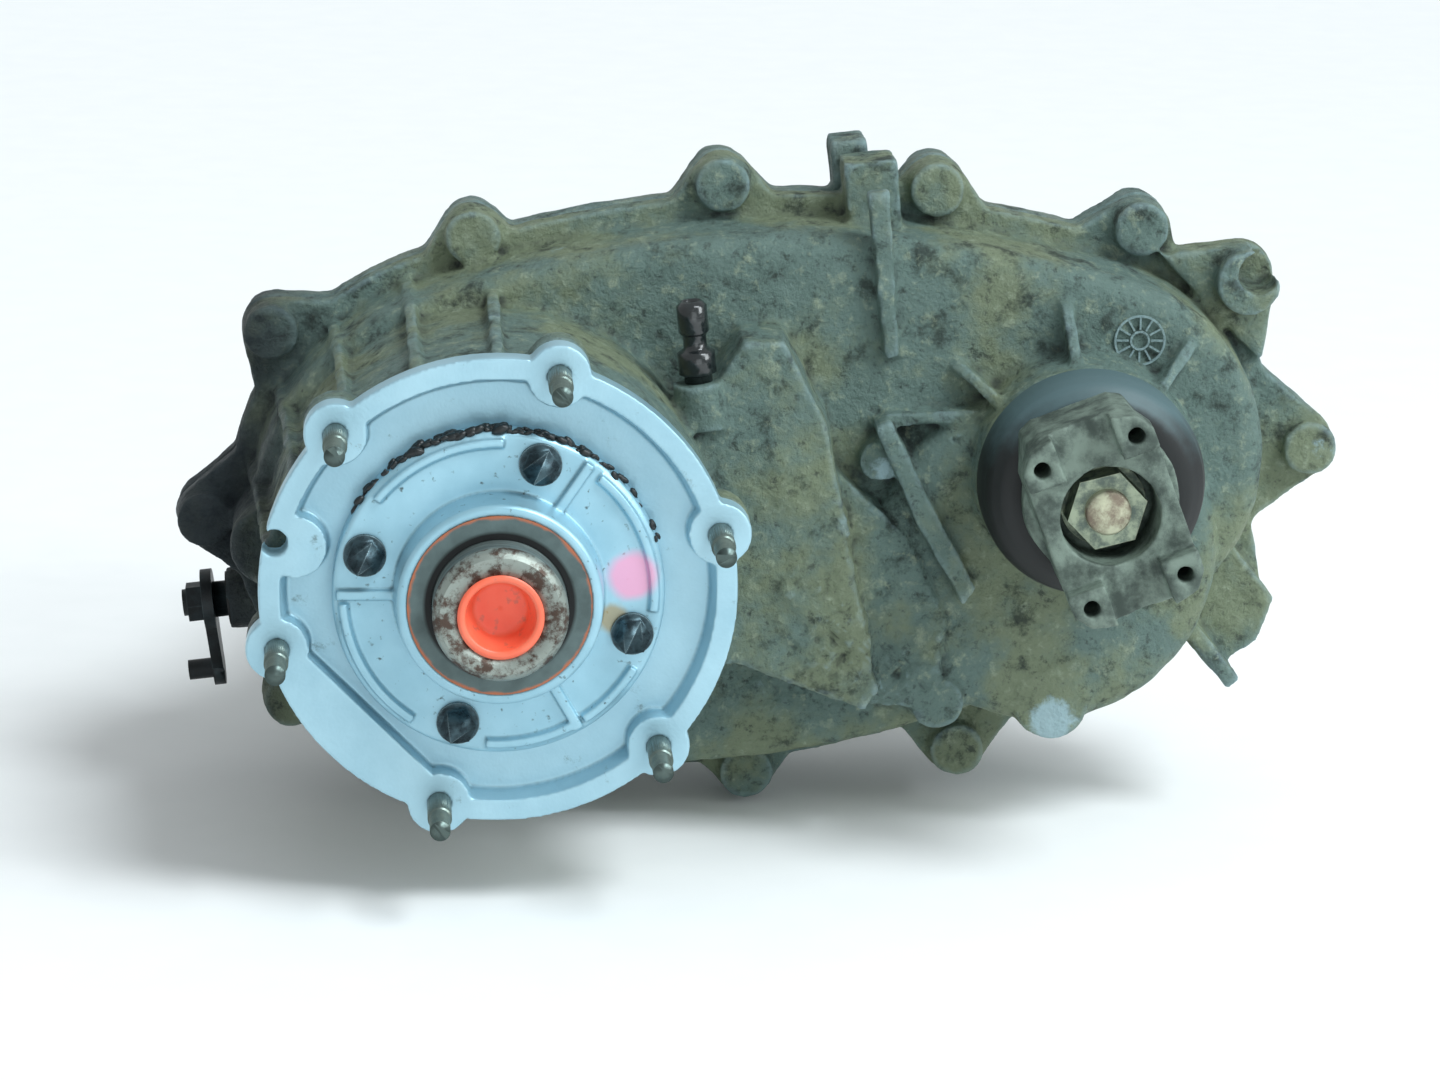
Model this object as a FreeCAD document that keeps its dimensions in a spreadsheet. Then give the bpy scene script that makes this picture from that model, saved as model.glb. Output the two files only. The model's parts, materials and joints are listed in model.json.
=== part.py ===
import FreeCAD, Part
import math
import os

import Sketcher
from FreeCAD import Placement, Rotation, Vector

# A chain-drive transfer case: two cast halves, a planetary range gear, a mainshaft with its
# shift sleeves, a silent chain to the front output, and the shift, oil and sensing pieces.
#
# Every piece is drawn in the case's own frame: u runs from the input axis to the front output
# axis, v is square to it, and Y runs rearwards from the rim of the input flange. The whole
# frame is then turned by the clock angle about the input axis, as the case hangs.

doc = FreeCAD.newDocument("TransferCase")
sheet = doc.addObject("Spreadsheet::Sheet", "Sizes")

DRIVING_SIZES = """
centre_distance 254      input axis to front output axis
clock_angle 6.4          tilt of the line between the axes, degrees
mating_depth 155         input flange rim to the joint between the halves
input_end_radius 114     flange outline round the input axis
output_end_radius 92     flange outline round the front output axis
top_side_radius 500      long arc over the top of the outline
bottom_side_radius 440   long arc under the outline
flange_thickness 12      joint flange of each half
flange_ledge 8           flange outside the wall
case_wall 8              cast wall
edge_round 9             rounded edge of the chain housing
front_depth 50           chain housing, joint to front face
rear_depth 66            chain housing, joint to rear face
draft_angle 4            taper of the cast walls, degrees
sump_radius 86           lobe below the front output
sump_drop 39             lobe centre below the axis line
sump_shift 18            lobe centre towards the input axis
sump_depth 60            lobe, joint to its front face
ear_radius 13            bolt ears round the joint
ear_height 20            bolt ear, joint to its end
ear_flare 52             where the ear's sides leave its round end, degrees
ear_skirt 36             length of those sides
case_bolt_radius 4       shank of the case bolts
case_bolt_reach 15       case bolt inside the front half
dowel_radius 5           locating dowels in the joint
dowel_length 18          locating dowel
bulge_radius 96          planet housing outside
rim_radius 98            input flange outside
rim_thickness 11         input flange
rim_width 9              flat land of the input flange
dish_depth 10            recess inside the flange land
web_chord 74             flat web of the flange, chord from the axis
web_angle 218.6            middle of the flat web, degrees
stud_circle 187          pitch circle of the flange studs
stud_count 6             flange studs
stud_angle 8.6            first stud, degrees
stud_radius 5            flange stud shank
stud_reach 20            full shank in front of the flange
stud_tip_radius 4.25     thread at its end
stud_tip 16              length of that thread
stud_root 20             stud inside its ear
stud_root_radius 4.5     thread there, at its pitch line
stud_ear_radius 13       ears round the studs
stud_ear_length 26       ears, from the flange face
pilot_hole_angle 160.6     locating hole between two studs, degrees
pilot_hole_radius 5.5    locating hole
rib_thickness 5          cooling ribs on the planet housing
rib_height 8             cooling rib above the housing
rib_count 8              cooling ribs
rib_angle 84             first cooling rib, degrees
rib_spread 140           angle that the cooling ribs cover, degrees
retainer_radius 68       front bearing retainer
retainer_plate 12        its plate
retainer_collar 42       its collar round the seal
collar_length 18         collar in front of the plate
retainer_bolt_circle 114 pitch circle of the retainer bolts
retainer_bolt_angle 66.6   first retainer bolt, degrees
retainer_bolt_radius 4   shank of the retainer bolts
input_seal_radius 37.5   input seal outside
input_seal_width 9       input seal
input_journal 27.5       input shaft at its seal
input_reach 37           input shaft in front of the flange
input_bore 17.5          splined bore of the input shaft
input_bearing_radius 45  input bearing outside
input_bearing_width 18   input bearing
gear_module 2.7          planetary gear teeth
sun_teeth 33             sun gear
planet_teeth 12          each planet gear
planet_count 3           planet gears
planet_front 50          front of the planet gears
planet_face 27           planet gear width
planet_pin_radius 6      planet pins
carrier_plate 8          each carrier plate
annulus_radius 86        annulus gear outside
clutch_teeth 24          dog teeth of hubs and sleeves
range_clutch_radius 35   dog teeth of the range hub, at their roots
mode_clutch_radius 42    dog teeth of the mode sleeve, at their roots
dog_width 8              dog teeth of the range hub
range_stroke 11          range hub travel from high to neutral
mode_stroke 10           mode sleeve travel
mode_sleeve_front 150    mode sleeve, front end when it locks the sprocket
mode_sleeve_length 18    mode sleeve
fork_thickness 6         shift forks
spline_radius 18         mainshaft in its hubs
sprocket_front 173       front face of both sprockets
sprocket_width 30        sprockets and chain
sprocket_teeth 30        teeth of each sprocket
chain_half_height 6      chain link, pitch line to back
sprocket_journal 22      mainshaft under the drive sprocket
rear_boss_end 250        rear face of the rear half's hub
rear_boss_radius 54      hub round the rear bearing
rear_journal 20          mainshaft in the rear bearing
rear_bearing_radius 40   rear bearing outside
rear_bearing_width 18    rear bearing
mainshaft_end 360        rear end of the mainshaft
tail_radius 16.5         splined tail of the mainshaft
extension_flange 62      extension housing flange
extension_end 406        rear end of the extension housing
extension_nose 36        extension housing at its seal
slip_bore 24             bush that the rear propshaft yoke runs in
nose_radius 47           front output nose of the case
nose_front 78            front end of that nose
nose_ledge 10            bearing seat behind the nose's front end
output_bearing_radius 40 front output bearing outside
output_bearing_width 20  front output bearing
output_seal_radius 36    front output seal outside
output_seal_width 9      front output seal
output_shaft_radius 17   front output shaft
output_thread_radius 9.5 its threaded end
yoke_barrel 24           yoke barrel
yoke_front 1             front face of the yoke's strap pads
yoke_floor 38            floor of the yoke's nut recess
yoke_nut_front 21        front face of the yoke nut
yoke_bolt_span 41        strap bolts across one bearing cup
yoke_cup_span 63         strap bolts from cup to cup
yoke_turn 14.7           yoke at rest, degrees
cup_radius 12.5          seats of the joint's bearing cups
strap_hole_radius 3.6    strap bolt holes
slinger_radius 48        dust slinger
slinger_front 50         front of the dust slinger
rail_circle 95           shift rail from the input axis
rail_angle 176           shift rail, degrees
rail_radius 6            shift rail
selector_depth 187       selector shaft, behind the flange rim
selector_drop 41         selector shaft below the axis line
selector_radius 8        selector shaft
sector_arm 39            selector shaft to the range fork's pin
sector_plane 72.5        sector plate from the input axis
running_gap 0.3          clearance between parts that pass
fit_gap 0.05             clearance of a running fit
backlash 0.35            play between gear teeth
"""


class Size:
    """A size from the sheet, or one worked out from such: its value, and the formula for it."""

    def __init__(self, value, formula=None):
        self.value = float(value)
        self.formula = formula or f"{self.value:.9g}"

    def joined(self, other, sign, value):
        return Size(value, f"({self.formula} {sign} {other.formula})")

    def __add__(self, other):
        other = size(other)
        return self.joined(other, "+", self.value + other.value)

    def __sub__(self, other):
        other = size(other)
        return self.joined(other, "-", self.value - other.value)

    def __mul__(self, other):
        other = size(other)
        return self.joined(other, "*", self.value * other.value)

    def __truediv__(self, other):
        other = size(other)
        return self.joined(other, "/", self.value / other.value)

    def __radd__(self, other):
        return size(other) + self

    def __rsub__(self, other):
        return size(other) - self

    def __rmul__(self, other):
        return size(other) * self

    def __rtruediv__(self, other):
        return size(other) / self

    def __neg__(self):
        return Size(-self.value, f"(0 - {self.formula})")


def whole(number):
    """The nearest whole number, for a count."""
    return int(round(size(number).value))


def size(number):
    return number if isinstance(number, Size) else Size(number)


def cosine(angle):
    angle = size(angle)
    return Size(math.cos(math.radians(angle.value)), f"cos({angle.formula})")


def sine(angle):
    angle = size(angle)
    return Size(math.sin(math.radians(angle.value)), f"sin({angle.formula})")


def root(number):
    number = size(number)
    return Size(math.sqrt(number.value), f"sqrt({number.formula})")


def tangent(angle):
    angle = size(angle)
    return Size(math.tan(math.radians(angle.value)), f"tan({angle.formula})")


def arc_cosine(ratio):
    ratio = size(ratio)
    return Size(math.degrees(math.acos(ratio.value)), f"(acos({ratio.formula}) / 1 deg)")


class Sheet:
    """The driving sizes, each read as an attribute."""


s = Sheet()
for row, line in enumerate(DRIVING_SIZES.strip().splitlines(), start=1):
    alias, number, note = line.split(None, 2)
    sheet.set(f"A{row}", alias.replace("_", " "))
    sheet.set(f"B{row}", number)
    sheet.set(f"C{row}", note)
    sheet.setAlias(f"B{row}", alias)
    setattr(s, alias, Size(float(number), f"Sizes.{alias}"))
doc.recompute()

nodes = []


# ---------------------------------------------------------------- placing and drawing

def bind(thing, path, amount):
    """Ties one property of an object to the sheet."""
    amount = size(amount)
    if "Sizes" in amount.formula:
        thing.setExpression(path, amount.formula)
    return amount.value


def seat(piece, u=0, depth=0, v=0, turn=0):
    """Puts a piece in the case frame: its own origin at u, depth and v, turned about Y."""
    x = u * cosine(s.clock_angle) - v * sine(s.clock_angle)
    z = u * sine(s.clock_angle) + v * cosine(s.clock_angle)
    angle = s.clock_angle + turn
    piece.Placement = Placement(
        Vector(size(x).value, size(depth).value, size(z).value),
        Rotation(Vector(0, -1, 0), angle.value),
    )
    bind(piece, "Placement.Base.x", x)
    bind(piece, "Placement.Base.y", depth)
    bind(piece, "Placement.Base.z", z)
    bind(piece, "Placement.Rotation.Angle", angle)
    nodes.append(piece)
    return piece


def new_body(label, u=0, depth=0, v=0, turn=0):
    body = doc.addObject("PartDesign::Body", label)
    body.Label = label
    body.AllowCompound = True
    return seat(body, u, depth, v, turn)


class Casting:
    """A casting put together from many small bodies, as a pattern maker builds up a pattern.

    What is added and what is cut is gathered in turn, so that each run of like steps is
    one boolean. It takes the place of a body in the functions below.
    """

    def __init__(self, label):
        self.label = label
        self.solid = None
        self.pieces = []
        self.cutting = False

    def new_piece(self):
        self.piece = doc.addObject("PartDesign::Body", self.label + "_piece")
        self.piece.AllowCompound = True
        return self.piece

    def add_step(self, cutting):
        if cutting != self.cutting:
            self.gather()
            self.cutting = cutting
        if self.piece not in self.pieces:
            self.pieces.append(self.piece)

    def gather(self):
        """Adds the waiting pieces to the solid, or cuts them from it."""
        if not self.pieces:
            return
        if self.cutting:
            tool = self.pieces[0]
            if len(self.pieces) > 1:
                tool = doc.addObject("Part::MultiFuse", self.label + "_cores")
                tool.Shapes = self.pieces
            cut = doc.addObject("Part::Cut", self.label + "_cut")
            cut.Base = self.solid
            cut.Tool = tool
            self.solid = cut
        else:
            joined = doc.addObject("Part::MultiFuse", self.label + "_joined")
            joined.Shapes = ([self.solid] if self.solid else []) + self.pieces
            self.solid = joined
        self.pieces = []

    def finish(self):
        self.gather()
        self.solid.Label = self.label
        return seat(self.solid)


def new_sketch(body, role, lift=0):
    """A sketch on one of the body's own origin planes, lifted along the plane's normal."""
    if isinstance(body, Casting):
        body = body.new_piece()
    sketch = body.newObject("Sketcher::SketchObject", "Sketch")
    plane = [f for f in body.Origin.OriginFeatures if f.Role == role][0]
    sketch.AttachmentSupport = [(plane, "")]
    sketch.MapMode = "FlatFace"
    lift = size(lift)
    sketch.AttachmentOffset = Placement(Vector(0, 0, lift.value), Rotation())
    bind(sketch, "AttachmentOffset.Base.z", lift)
    return sketch


def outline_sketch(body, depth=0):
    """A sketch square to the shafts at a depth along Y. Its normal points forward."""
    return new_sketch(body, "XZ_Plane", -size(depth))


def fix(sketch, kind, *where, amount):
    """Adds a dimension to a sketch and ties it to the sheet."""
    amount = size(amount)
    index = sketch.addConstraint(Sketcher.Constraint(kind, *where, amount.value))
    bind(sketch, f"Constraints[{index}]", amount)


def fix_point(sketch, geometry, position, x, y):
    fix(sketch, "DistanceX", -1, 1, geometry, position, amount=x)
    fix(sketch, "DistanceY", -1, 1, geometry, position, amount=y)


def draw_circle(sketch, x, y, radius):
    x, y, radius = size(x), size(y), size(radius)
    centre = Vector(x.value, y.value, 0)
    index = sketch.addGeometry(Part.Circle(centre, Vector(0, 0, 1), radius.value))
    fix_point(sketch, index, 3, x, y)
    fix(sketch, "Radius", index, amount=radius)


def draw_polygon(sketch, corners):
    corners = [(size(x), size(y)) for x, y in corners]
    spots = [Vector(x.value, y.value, 0) for x, y in corners]
    lines = [
        sketch.addGeometry(Part.LineSegment(spot, spots[(k + 1) % len(spots)]))
        for k, spot in enumerate(spots)
    ]
    for k, line in enumerate(lines):
        following = lines[(k + 1) % len(lines)]
        sketch.addConstraint(Sketcher.Constraint("Coincident", line, 2, following, 1))
    for line, (x, y) in zip(lines, corners):
        fix_point(sketch, line, 1, x, y)


def side_centre(side_radius):
    """Centre of a long side arc that both end arcs touch from inside: u, and how far past the axis line."""
    to_input = side_radius - s.input_end_radius
    to_output = side_radius - s.output_end_radius
    span = s.centre_distance
    u = (to_input * to_input - to_output * to_output + span * span) / (2 * span)
    return u, root(to_input * to_input - u * u)


def draw_case_outline(sketch, inset):
    """The closed outline of four arcs that run into each other smoothly, set in by a width."""
    top_u, top_drop = side_centre(s.top_side_radius)
    low_u, low_rise = side_centre(s.bottom_side_radius)
    span = s.centre_distance
    top = Vector(top_u.value, -top_drop.value, 0)
    low = Vector(low_u.value, low_rise.value, 0)
    first, second = Vector(0, 0, 0), Vector(span.value, 0, 0)

    def bearing_of(start, end):
        return math.atan2(end.y - start.y, end.x - start.x) % (2 * math.pi)

    arcs = [
        (first, s.input_end_radius, bearing_of(top, first), bearing_of(low, first)),
        (low, s.bottom_side_radius, bearing_of(low, first), bearing_of(low, second)),
        (second, s.output_end_radius, bearing_of(low, second), bearing_of(top, second) + 2 * math.pi),
        (top, s.top_side_radius, bearing_of(top, second), bearing_of(top, first)),
    ]
    drawn = []
    for centre, radius, start, end in arcs:
        circle = Part.Circle(centre, Vector(0, 0, 1), (radius - inset).value)
        drawn.append(sketch.addGeometry(Part.ArcOfCircle(circle, start, end)))
    for k, arc in enumerate(drawn):
        following = drawn[(k + 1) % len(drawn)]
        sketch.addConstraint(Sketcher.Constraint("Tangent", arc, 2, following, 1))
    fix_point(sketch, drawn[0], 3, 0, 0)
    fix_point(sketch, drawn[2], 3, span, 0)
    for arc, (centre, radius, start, end) in zip(drawn, arcs):
        fix(sketch, "Radius", arc, amount=radius - inset)


def new_feature(body, kind):
    """A feature of a body. A casting's pockets and grooves are cores, cut out when it is joined."""
    if isinstance(body, Casting):
        if kind != "PolarPattern" and kind != "Fillet":
            body.add_step(kind in ("Pocket", "Groove"))
            kind = {"Pocket": "Pad", "Groove": "Revolution"}.get(kind, kind)
        body = body.piece
    return body.newObject(f"PartDesign::{kind}", kind)


def extrude(body, kind, sketch, length, rearwards=False, taper=0):
    """A pad or pocket that starts on its sketch and runs forward, or rearwards."""
    feature = new_feature(body, kind)
    feature.Profile = sketch
    feature.Length = size(length).value
    bind(feature, "Length", length)
    cuts_body = feature.TypeId == "PartDesign::Pocket"
    feature.Reversed = cuts_body != rearwards
    if size(taper).value:
        feature.TaperAngle = size(taper).value
        bind(feature, "TaperAngle", taper)
    return feature


def pad(body, sketch, length, rearwards=False, taper=0):
    return extrude(body, "Pad", sketch, length, rearwards, taper)


def pocket(body, sketch, length, rearwards=False, taper=0):
    return extrude(body, "Pocket", sketch, length, rearwards, taper)


def turn(body, corners, kind="Revolution", axis_u=0):
    """Turns a profile of (radius, depth) corners about a line along Y at axis_u."""
    sketch = new_sketch(body, "XY_Plane")
    axis_u = size(axis_u)
    if axis_u.value:
        line = sketch.addGeometry(
            Part.LineSegment(Vector(axis_u.value, 0, 0), Vector(axis_u.value, 10, 0)), True
        )
        fix_point(sketch, line, 1, axis_u, 0)
        fix_point(sketch, line, 2, axis_u, 10)
        corners = [(axis_u + radius, depth) for radius, depth in corners]
    draw_polygon(sketch, corners)
    feature = new_feature(body, kind)
    feature.Profile = sketch
    feature.ReferenceAxis = (sketch, ["Axis0" if axis_u.value else "V_Axis"])
    feature.Angle = 360
    return feature


def turned(label, corners, u=0, depth=0, v=0, spin=0):
    """A piece that is one turned profile."""
    body = new_body(label, u, depth, v, spin)
    turn(body, corners)
    return body


def repeat_round(body, feature, count, angle=360):
    """Repeats a feature round the body's own Y axis, anticlockwise seen from the front."""
    pattern = new_feature(body, "PolarPattern")
    body = pattern.getParentGeoFeatureGroup()
    pattern.Originals = [feature]
    axis = [f for f in body.Origin.OriginFeatures if f.Role == "Y_Axis"][0]
    pattern.Axis = (axis, [""])
    pattern.Reversed = True
    pattern.Angle = size(angle).value
    bind(pattern, "Angle", angle)
    pattern.Occurrences = int(size(count).value)
    bind(pattern, "Occurrences", count)
    body.Tip = pattern
    return pattern


def polar(radius, angle):
    return size(radius) * cosine(angle), size(radius) * sine(angle)


def ring(label, inner, outer, front, rear, u=0, v=0, spin=0):
    """A plain ring between two depths."""
    corners = [(inner, front), (outer, front), (outer, rear), (inner, rear)]
    return turned(label, corners, u=u, v=v, spin=spin)


def radial_sketch(body, u, v, angle):
    """A sketch that holds the line of the Y axis through u and v, and faces round it at an angle."""
    sketch = new_sketch(body, "XY_Plane")
    u, v, angle = size(u), size(v), size(angle)
    sketch.AttachmentOffset = Placement(
        Vector(u.value, 0, v.value), Rotation(Vector(0, -1, 0), angle.value)
    )
    bind(sketch, "AttachmentOffset.Base.x", u)
    bind(sketch, "AttachmentOffset.Base.z", v)
    bind(sketch, "AttachmentOffset.Rotation.Angle", angle)
    return sketch


def web(body, corners, u, v, angle, thickness):
    """A flat web from (radius, depth) corners, standing out from a line along Y at an angle."""
    sketch = radial_sketch(body, u, v, angle)
    draw_polygon(sketch, corners)
    feature = new_feature(body, "Pad")
    feature.Profile = sketch
    feature.SideType = "Symmetric"
    feature.Length = size(thickness).value
    bind(feature, "Length", thickness)
    return feature


def cross_turn(body, corners, depth, v, kind="Revolution"):
    """Turns a profile of (u, radius) corners about a line along u at a depth and height v."""
    depth, v = size(depth), size(v)
    sketch = new_sketch(body, "XY_Plane", v)
    line = sketch.addGeometry(
        Part.LineSegment(Vector(0, depth.value, 0), Vector(10, depth.value, 0)), True
    )
    fix_point(sketch, line, 1, 0, depth)
    fix_point(sketch, line, 2, 10, depth)
    draw_polygon(sketch, [(u, depth + radius) for u, radius in corners])
    feature = new_feature(body, kind)
    feature.Profile = sketch
    feature.ReferenceAxis = (sketch, ["Axis0"])
    feature.Angle = 360
    return feature


def round_edges(body, feature, edges, radius):
    doc.recompute()
    fillet = new_feature(body, "Fillet")
    fillet.Base = (feature, edges)
    fillet.Radius = size(radius).value
    bind(fillet, "Radius", radius)
    return fillet


def edges_at_depth(feature, depth):
    """Names of a feature's edges that lie wholly at one depth."""
    doc.recompute()
    depth = size(depth).value
    return [
        f"Edge{k}"
        for k, edge in enumerate(feature.Shape.Edges, start=1)
        if all(abs(vertex.Y - depth) < 0.01 for vertex in edge.Vertexes)
    ]


def draw_ear_skirt(sketch, u, v, radius, angle, flare, length):
    """The sides of a bolt ear: two lines that leave its round end smoothly and flare to the wall."""
    u, v, radius, angle = size(u), size(v), size(radius), size(angle)
    corners = []
    for side in (1, -1):
        bearing = angle + side * flare
        touch = (u + radius * cosine(bearing), v + radius * sine(bearing))
        heading = bearing + side * 90
        foot = (touch[0] + length * cosine(heading), touch[1] + length * sine(heading))
        corners += [touch, foot] if side == 1 else [foot, touch]
    draw_polygon(sketch, corners)


# ---------------------------------------------------------------- places shared by the pieces

rim_face = size(0)
dish_floor = s.dish_depth
bearing_rear = dish_floor + s.input_bearing_width
planet_rear = s.planet_front + s.planet_face
sun_radius = s.gear_module * s.sun_teeth / 2
planet_radius = s.gear_module * s.planet_teeth / 2
orbit_radius = sun_radius + planet_radius
annulus_teeth = s.sun_teeth + 2 * s.planet_teeth
carrier_front = s.planet_front - 1 - s.carrier_plate
cavity_front = carrier_front - 4
front_face = s.mating_depth - s.front_depth
rear_face = s.mating_depth + s.rear_depth
inner_rear_face = rear_face - s.case_wall
inner_front_face = front_face + s.case_wall
cavity_inset = s.flange_ledge + s.case_wall
sump_u = s.centre_distance - s.sump_shift
sump_v = -s.sump_drop
retainer_front = dish_floor - s.retainer_plate
collar_front = retainer_front - s.collar_length
output_bearing_front = s.nose_front + s.nose_ledge + 2
output_bearing_rear = output_bearing_front + s.output_bearing_width
rear_bearing_front = s.rear_boss_end - s.rear_bearing_width
sprocket_rear = s.sprocket_front + s.sprocket_width
rail_u, rail_v = polar(s.rail_circle, s.rail_angle)

# Bolt ears of the joint: u, v, and the direction that each points, in degrees.
joint_ears = [
    (5, 120, 90),
    (114, 131, 88),
    (206, 119, 80),
    (293, 92, 62),
    (360, -14, -8),
    (322, -78, -48),
    (193, -134, -94),
    (99, -133, -91),
    (0, -124, -92),
    (-97, -77, 218),
    (-124.5, 9, 176),
    (-86, 88, 135),
]
half_open_ear = (336, 66, 38)
dowel_places = [polar(s.input_end_radius - s.flange_ledge, 112), (322, -59)]
sprocket_places = (size(0), s.centre_distance)


def cast_half(label, depth_of_wall, depth_of_sump, rearwards):
    """What both halves share: joint flange, chain housing wall with its lobe, and bolt ears."""
    body = Casting(label)
    sign = 1 if rearwards else -1
    sketch = outline_sketch(body, s.mating_depth)
    draw_case_outline(sketch, size(0))
    pad(body, sketch, s.flange_thickness, rearwards)
    sketch = outline_sketch(body, s.mating_depth)
    draw_circle(sketch, sump_u, sump_v, s.sump_radius)
    pad(body, sketch, s.flange_thickness, rearwards)
    sketch = outline_sketch(body, s.mating_depth)
    draw_case_outline(sketch, s.flange_ledge)
    wall = pad(body, sketch, depth_of_wall, rearwards, -s.draft_angle)
    edges = edges_at_depth(wall, s.mating_depth + sign * depth_of_wall)
    round_edges(body, wall, edges, s.edge_round)
    sketch = outline_sketch(body, s.mating_depth)
    draw_circle(sketch, sump_u, sump_v, s.sump_radius - s.flange_ledge)
    lobe = pad(body, sketch, depth_of_sump, rearwards, -s.draft_angle)
    edges = edges_at_depth(lobe, s.mating_depth + sign * depth_of_sump)
    round_edges(body, lobe, edges, s.edge_round)
    sketch = outline_sketch(body, s.mating_depth)
    for u, v, angle in joint_ears:
        draw_circle(sketch, u, v, s.ear_radius)
    pad(body, sketch, s.ear_height, rearwards, -s.draft_angle)
    sketch = outline_sketch(body, s.mating_depth)
    for u, v, angle in joint_ears:
        draw_ear_skirt(sketch, u, v, s.ear_radius, angle, s.ear_flare, s.ear_skirt)
    pad(body, sketch, s.flange_thickness, rearwards)
    return body


def hollow_chain_room(body, depth_of_wall, depth_of_sump, rearwards):
    """The room for the chain and the sump in one half."""
    sketch = outline_sketch(body, s.mating_depth)
    draw_case_outline(sketch, cavity_inset)
    pocket(body, sketch, depth_of_wall - s.case_wall, rearwards, -s.draft_angle)
    sketch = outline_sketch(body, s.mating_depth)
    draw_circle(sketch, sump_u, sump_v, s.sump_radius - cavity_inset)
    pocket(body, sketch, depth_of_sump - s.case_wall, rearwards, -s.draft_angle)


def stand_turn(body, corners, u, depth, kind="Revolution"):
    """Turns a profile of (radius, height) corners about an upright line at u and a depth."""
    sketch = outline_sketch(body, depth)
    u = size(u)
    line = sketch.addGeometry(
        Part.LineSegment(Vector(u.value, 0, 0), Vector(u.value, 10, 0)), True
    )
    fix_point(sketch, line, 1, u, 0)
    fix_point(sketch, line, 2, u, 10)
    draw_polygon(sketch, [(u + radius, height) for radius, height in corners])
    feature = new_feature(body, kind)
    feature.Profile = sketch
    feature.ReferenceAxis = (sketch, ["Axis0"])
    feature.Angle = 360
    return feature


def disc(body, u, v, radius, depth, length, rearwards=True, taper=0):
    """A round boss."""
    sketch = outline_sketch(body, depth)
    draw_circle(sketch, u, v, radius)
    return pad(body, sketch, length, rearwards, taper)


def hole(body, places, radius, depth, length, rearwards=True):
    """Round holes that start at one depth."""
    sketch = outline_sketch(body, depth)
    for u, v in places:
        draw_circle(sketch, u, v, radius)
    return pocket(body, sketch, length, rearwards)


def block(body, corners, depth, length, rearwards=True, taper=0):
    """A pad of a polygon that starts at one depth."""
    sketch = outline_sketch(body, depth)
    draw_polygon(sketch, corners)
    return pad(body, sketch, length, rearwards, taper)


def box_corners(low_u, low_v, high_u, high_v):
    return [(low_u, low_v), (high_u, low_v), (high_u, high_v), (low_u, high_v)]


# ---------------------------------------------------------------- front half

front_case = cast_half("front_case", s.front_depth, s.sump_depth, False)
housing_rear = s.mating_depth - s.flange_thickness
turn(front_case, [
    (0, rim_face),
    (s.rim_radius, rim_face),
    (s.rim_radius, s.rim_thickness),
    (s.bulge_radius - 2, s.rim_thickness + 4),
    (s.bulge_radius + 2, housing_rear),
    (0, housing_rear),
])

# The recess inside the flange land, and the flat web that bridges part of it.
recess_radius = s.rim_radius - s.rim_width
turn(front_case, [
    (0, -1),
    (recess_radius, -1),
    (recess_radius, 0),
    (recess_radius - 2, dish_floor),
    (0, dish_floor),
], "Groove")
web_corners = [polar(s.rim_radius - 3, s.web_angle + step) for step in (-30, -15, 0, 15, 30)]
for side in (1, -1):
    along_u, along_v = polar(s.web_chord, s.web_angle)
    across_u, across_v = polar(s.web_chord * 0.7 * side, s.web_angle + 90)
    web_corners.append((along_u + across_u, along_v + across_v))
block(front_case, web_corners, 0, dish_floor + 1)

# Ears round the studs, a lobe round the locating hole, and the cooling ribs.
stud_u, stud_v = polar(s.stud_circle / 2, s.stud_angle)
stud_ear = disc(front_case, stud_u, stud_v, s.stud_ear_radius, 0, s.stud_ear_length)
repeat_round(front_case, stud_ear, s.stud_count)
pilot_u, pilot_v = polar(s.stud_circle / 2, s.pilot_hole_angle)
lobe_u, lobe_v = polar(s.rim_radius - s.stud_ear_radius, s.pilot_hole_angle)
disc(front_case, lobe_u, lobe_v, s.stud_ear_radius, 0, s.rim_thickness)
cooling_rib = web(
    front_case,
    [
        (s.bulge_radius - 6, s.rim_thickness - 2),
        (s.rim_radius - 1, s.rim_thickness - 2),
        (s.bulge_radius + s.rib_height, front_face),
        (s.bulge_radius + s.rib_height + 4, housing_rear + 2),
        (s.bulge_radius - 6, housing_rear + 2),
    ],
    0, 0, s.rib_angle, s.rib_thickness,
)
repeat_round(front_case, cooling_rib, s.rib_count, s.rib_spread)

# The raised shift housing beside the planet housing, the ledge under it, and the lugs and
# blades of the chain housing's face. Each runs a little way into the wall behind it.
into_wall = front_face + 3
block(front_case, [
    (72, 48), (98, 60), (113, 78), (132, 76), (147, 37), (157, -84), (150, -93), (96, -66), (70, -66),
], into_wall, into_wall - 74, False, -s.draft_angle)
block(front_case, [
    (84, -52), (150, -94), (180, -100), (190, -60), (176, -20), (150, 10),
], into_wall, into_wall - 92, False, -s.draft_angle)
block(front_case, [
    (166, 30), (173, 32), (187, -6), (203, -46), (197, -52), (180, -14),
], into_wall, into_wall - 84, False)
block(front_case, [(174, 56), (180, 56), (182, 128), (173, 128)], into_wall, 9, False)
block(front_case, [(172, 27), (214, 24), (214, 30), (172, 33)], into_wall, 12, False)
block(front_case, box_corners(166, 100, 189, 136), s.mating_depth, 27, False)
block(front_case, [
    (284, -72), (318, -46), (338, -78), (330, -96), (308, -108),
], s.mating_depth - 26, 12, True)
block(front_case, [(284, -66), (290, -63), (318, -108), (312, -112)], s.mating_depth - 44, 30, True)
disc(front_case, 168, 13, 10, into_wall, 14, False, -s.draft_angle)
disc(front_case, 183, -98, 12, into_wall, 16, False, -s.draft_angle)
disc(front_case, 232, -104, 17, into_wall, 14, False, -s.draft_angle)
stand_turn(front_case, [(0, 40), (11, 40), (11, 60), (0, 60)], 93, 79)

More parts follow.
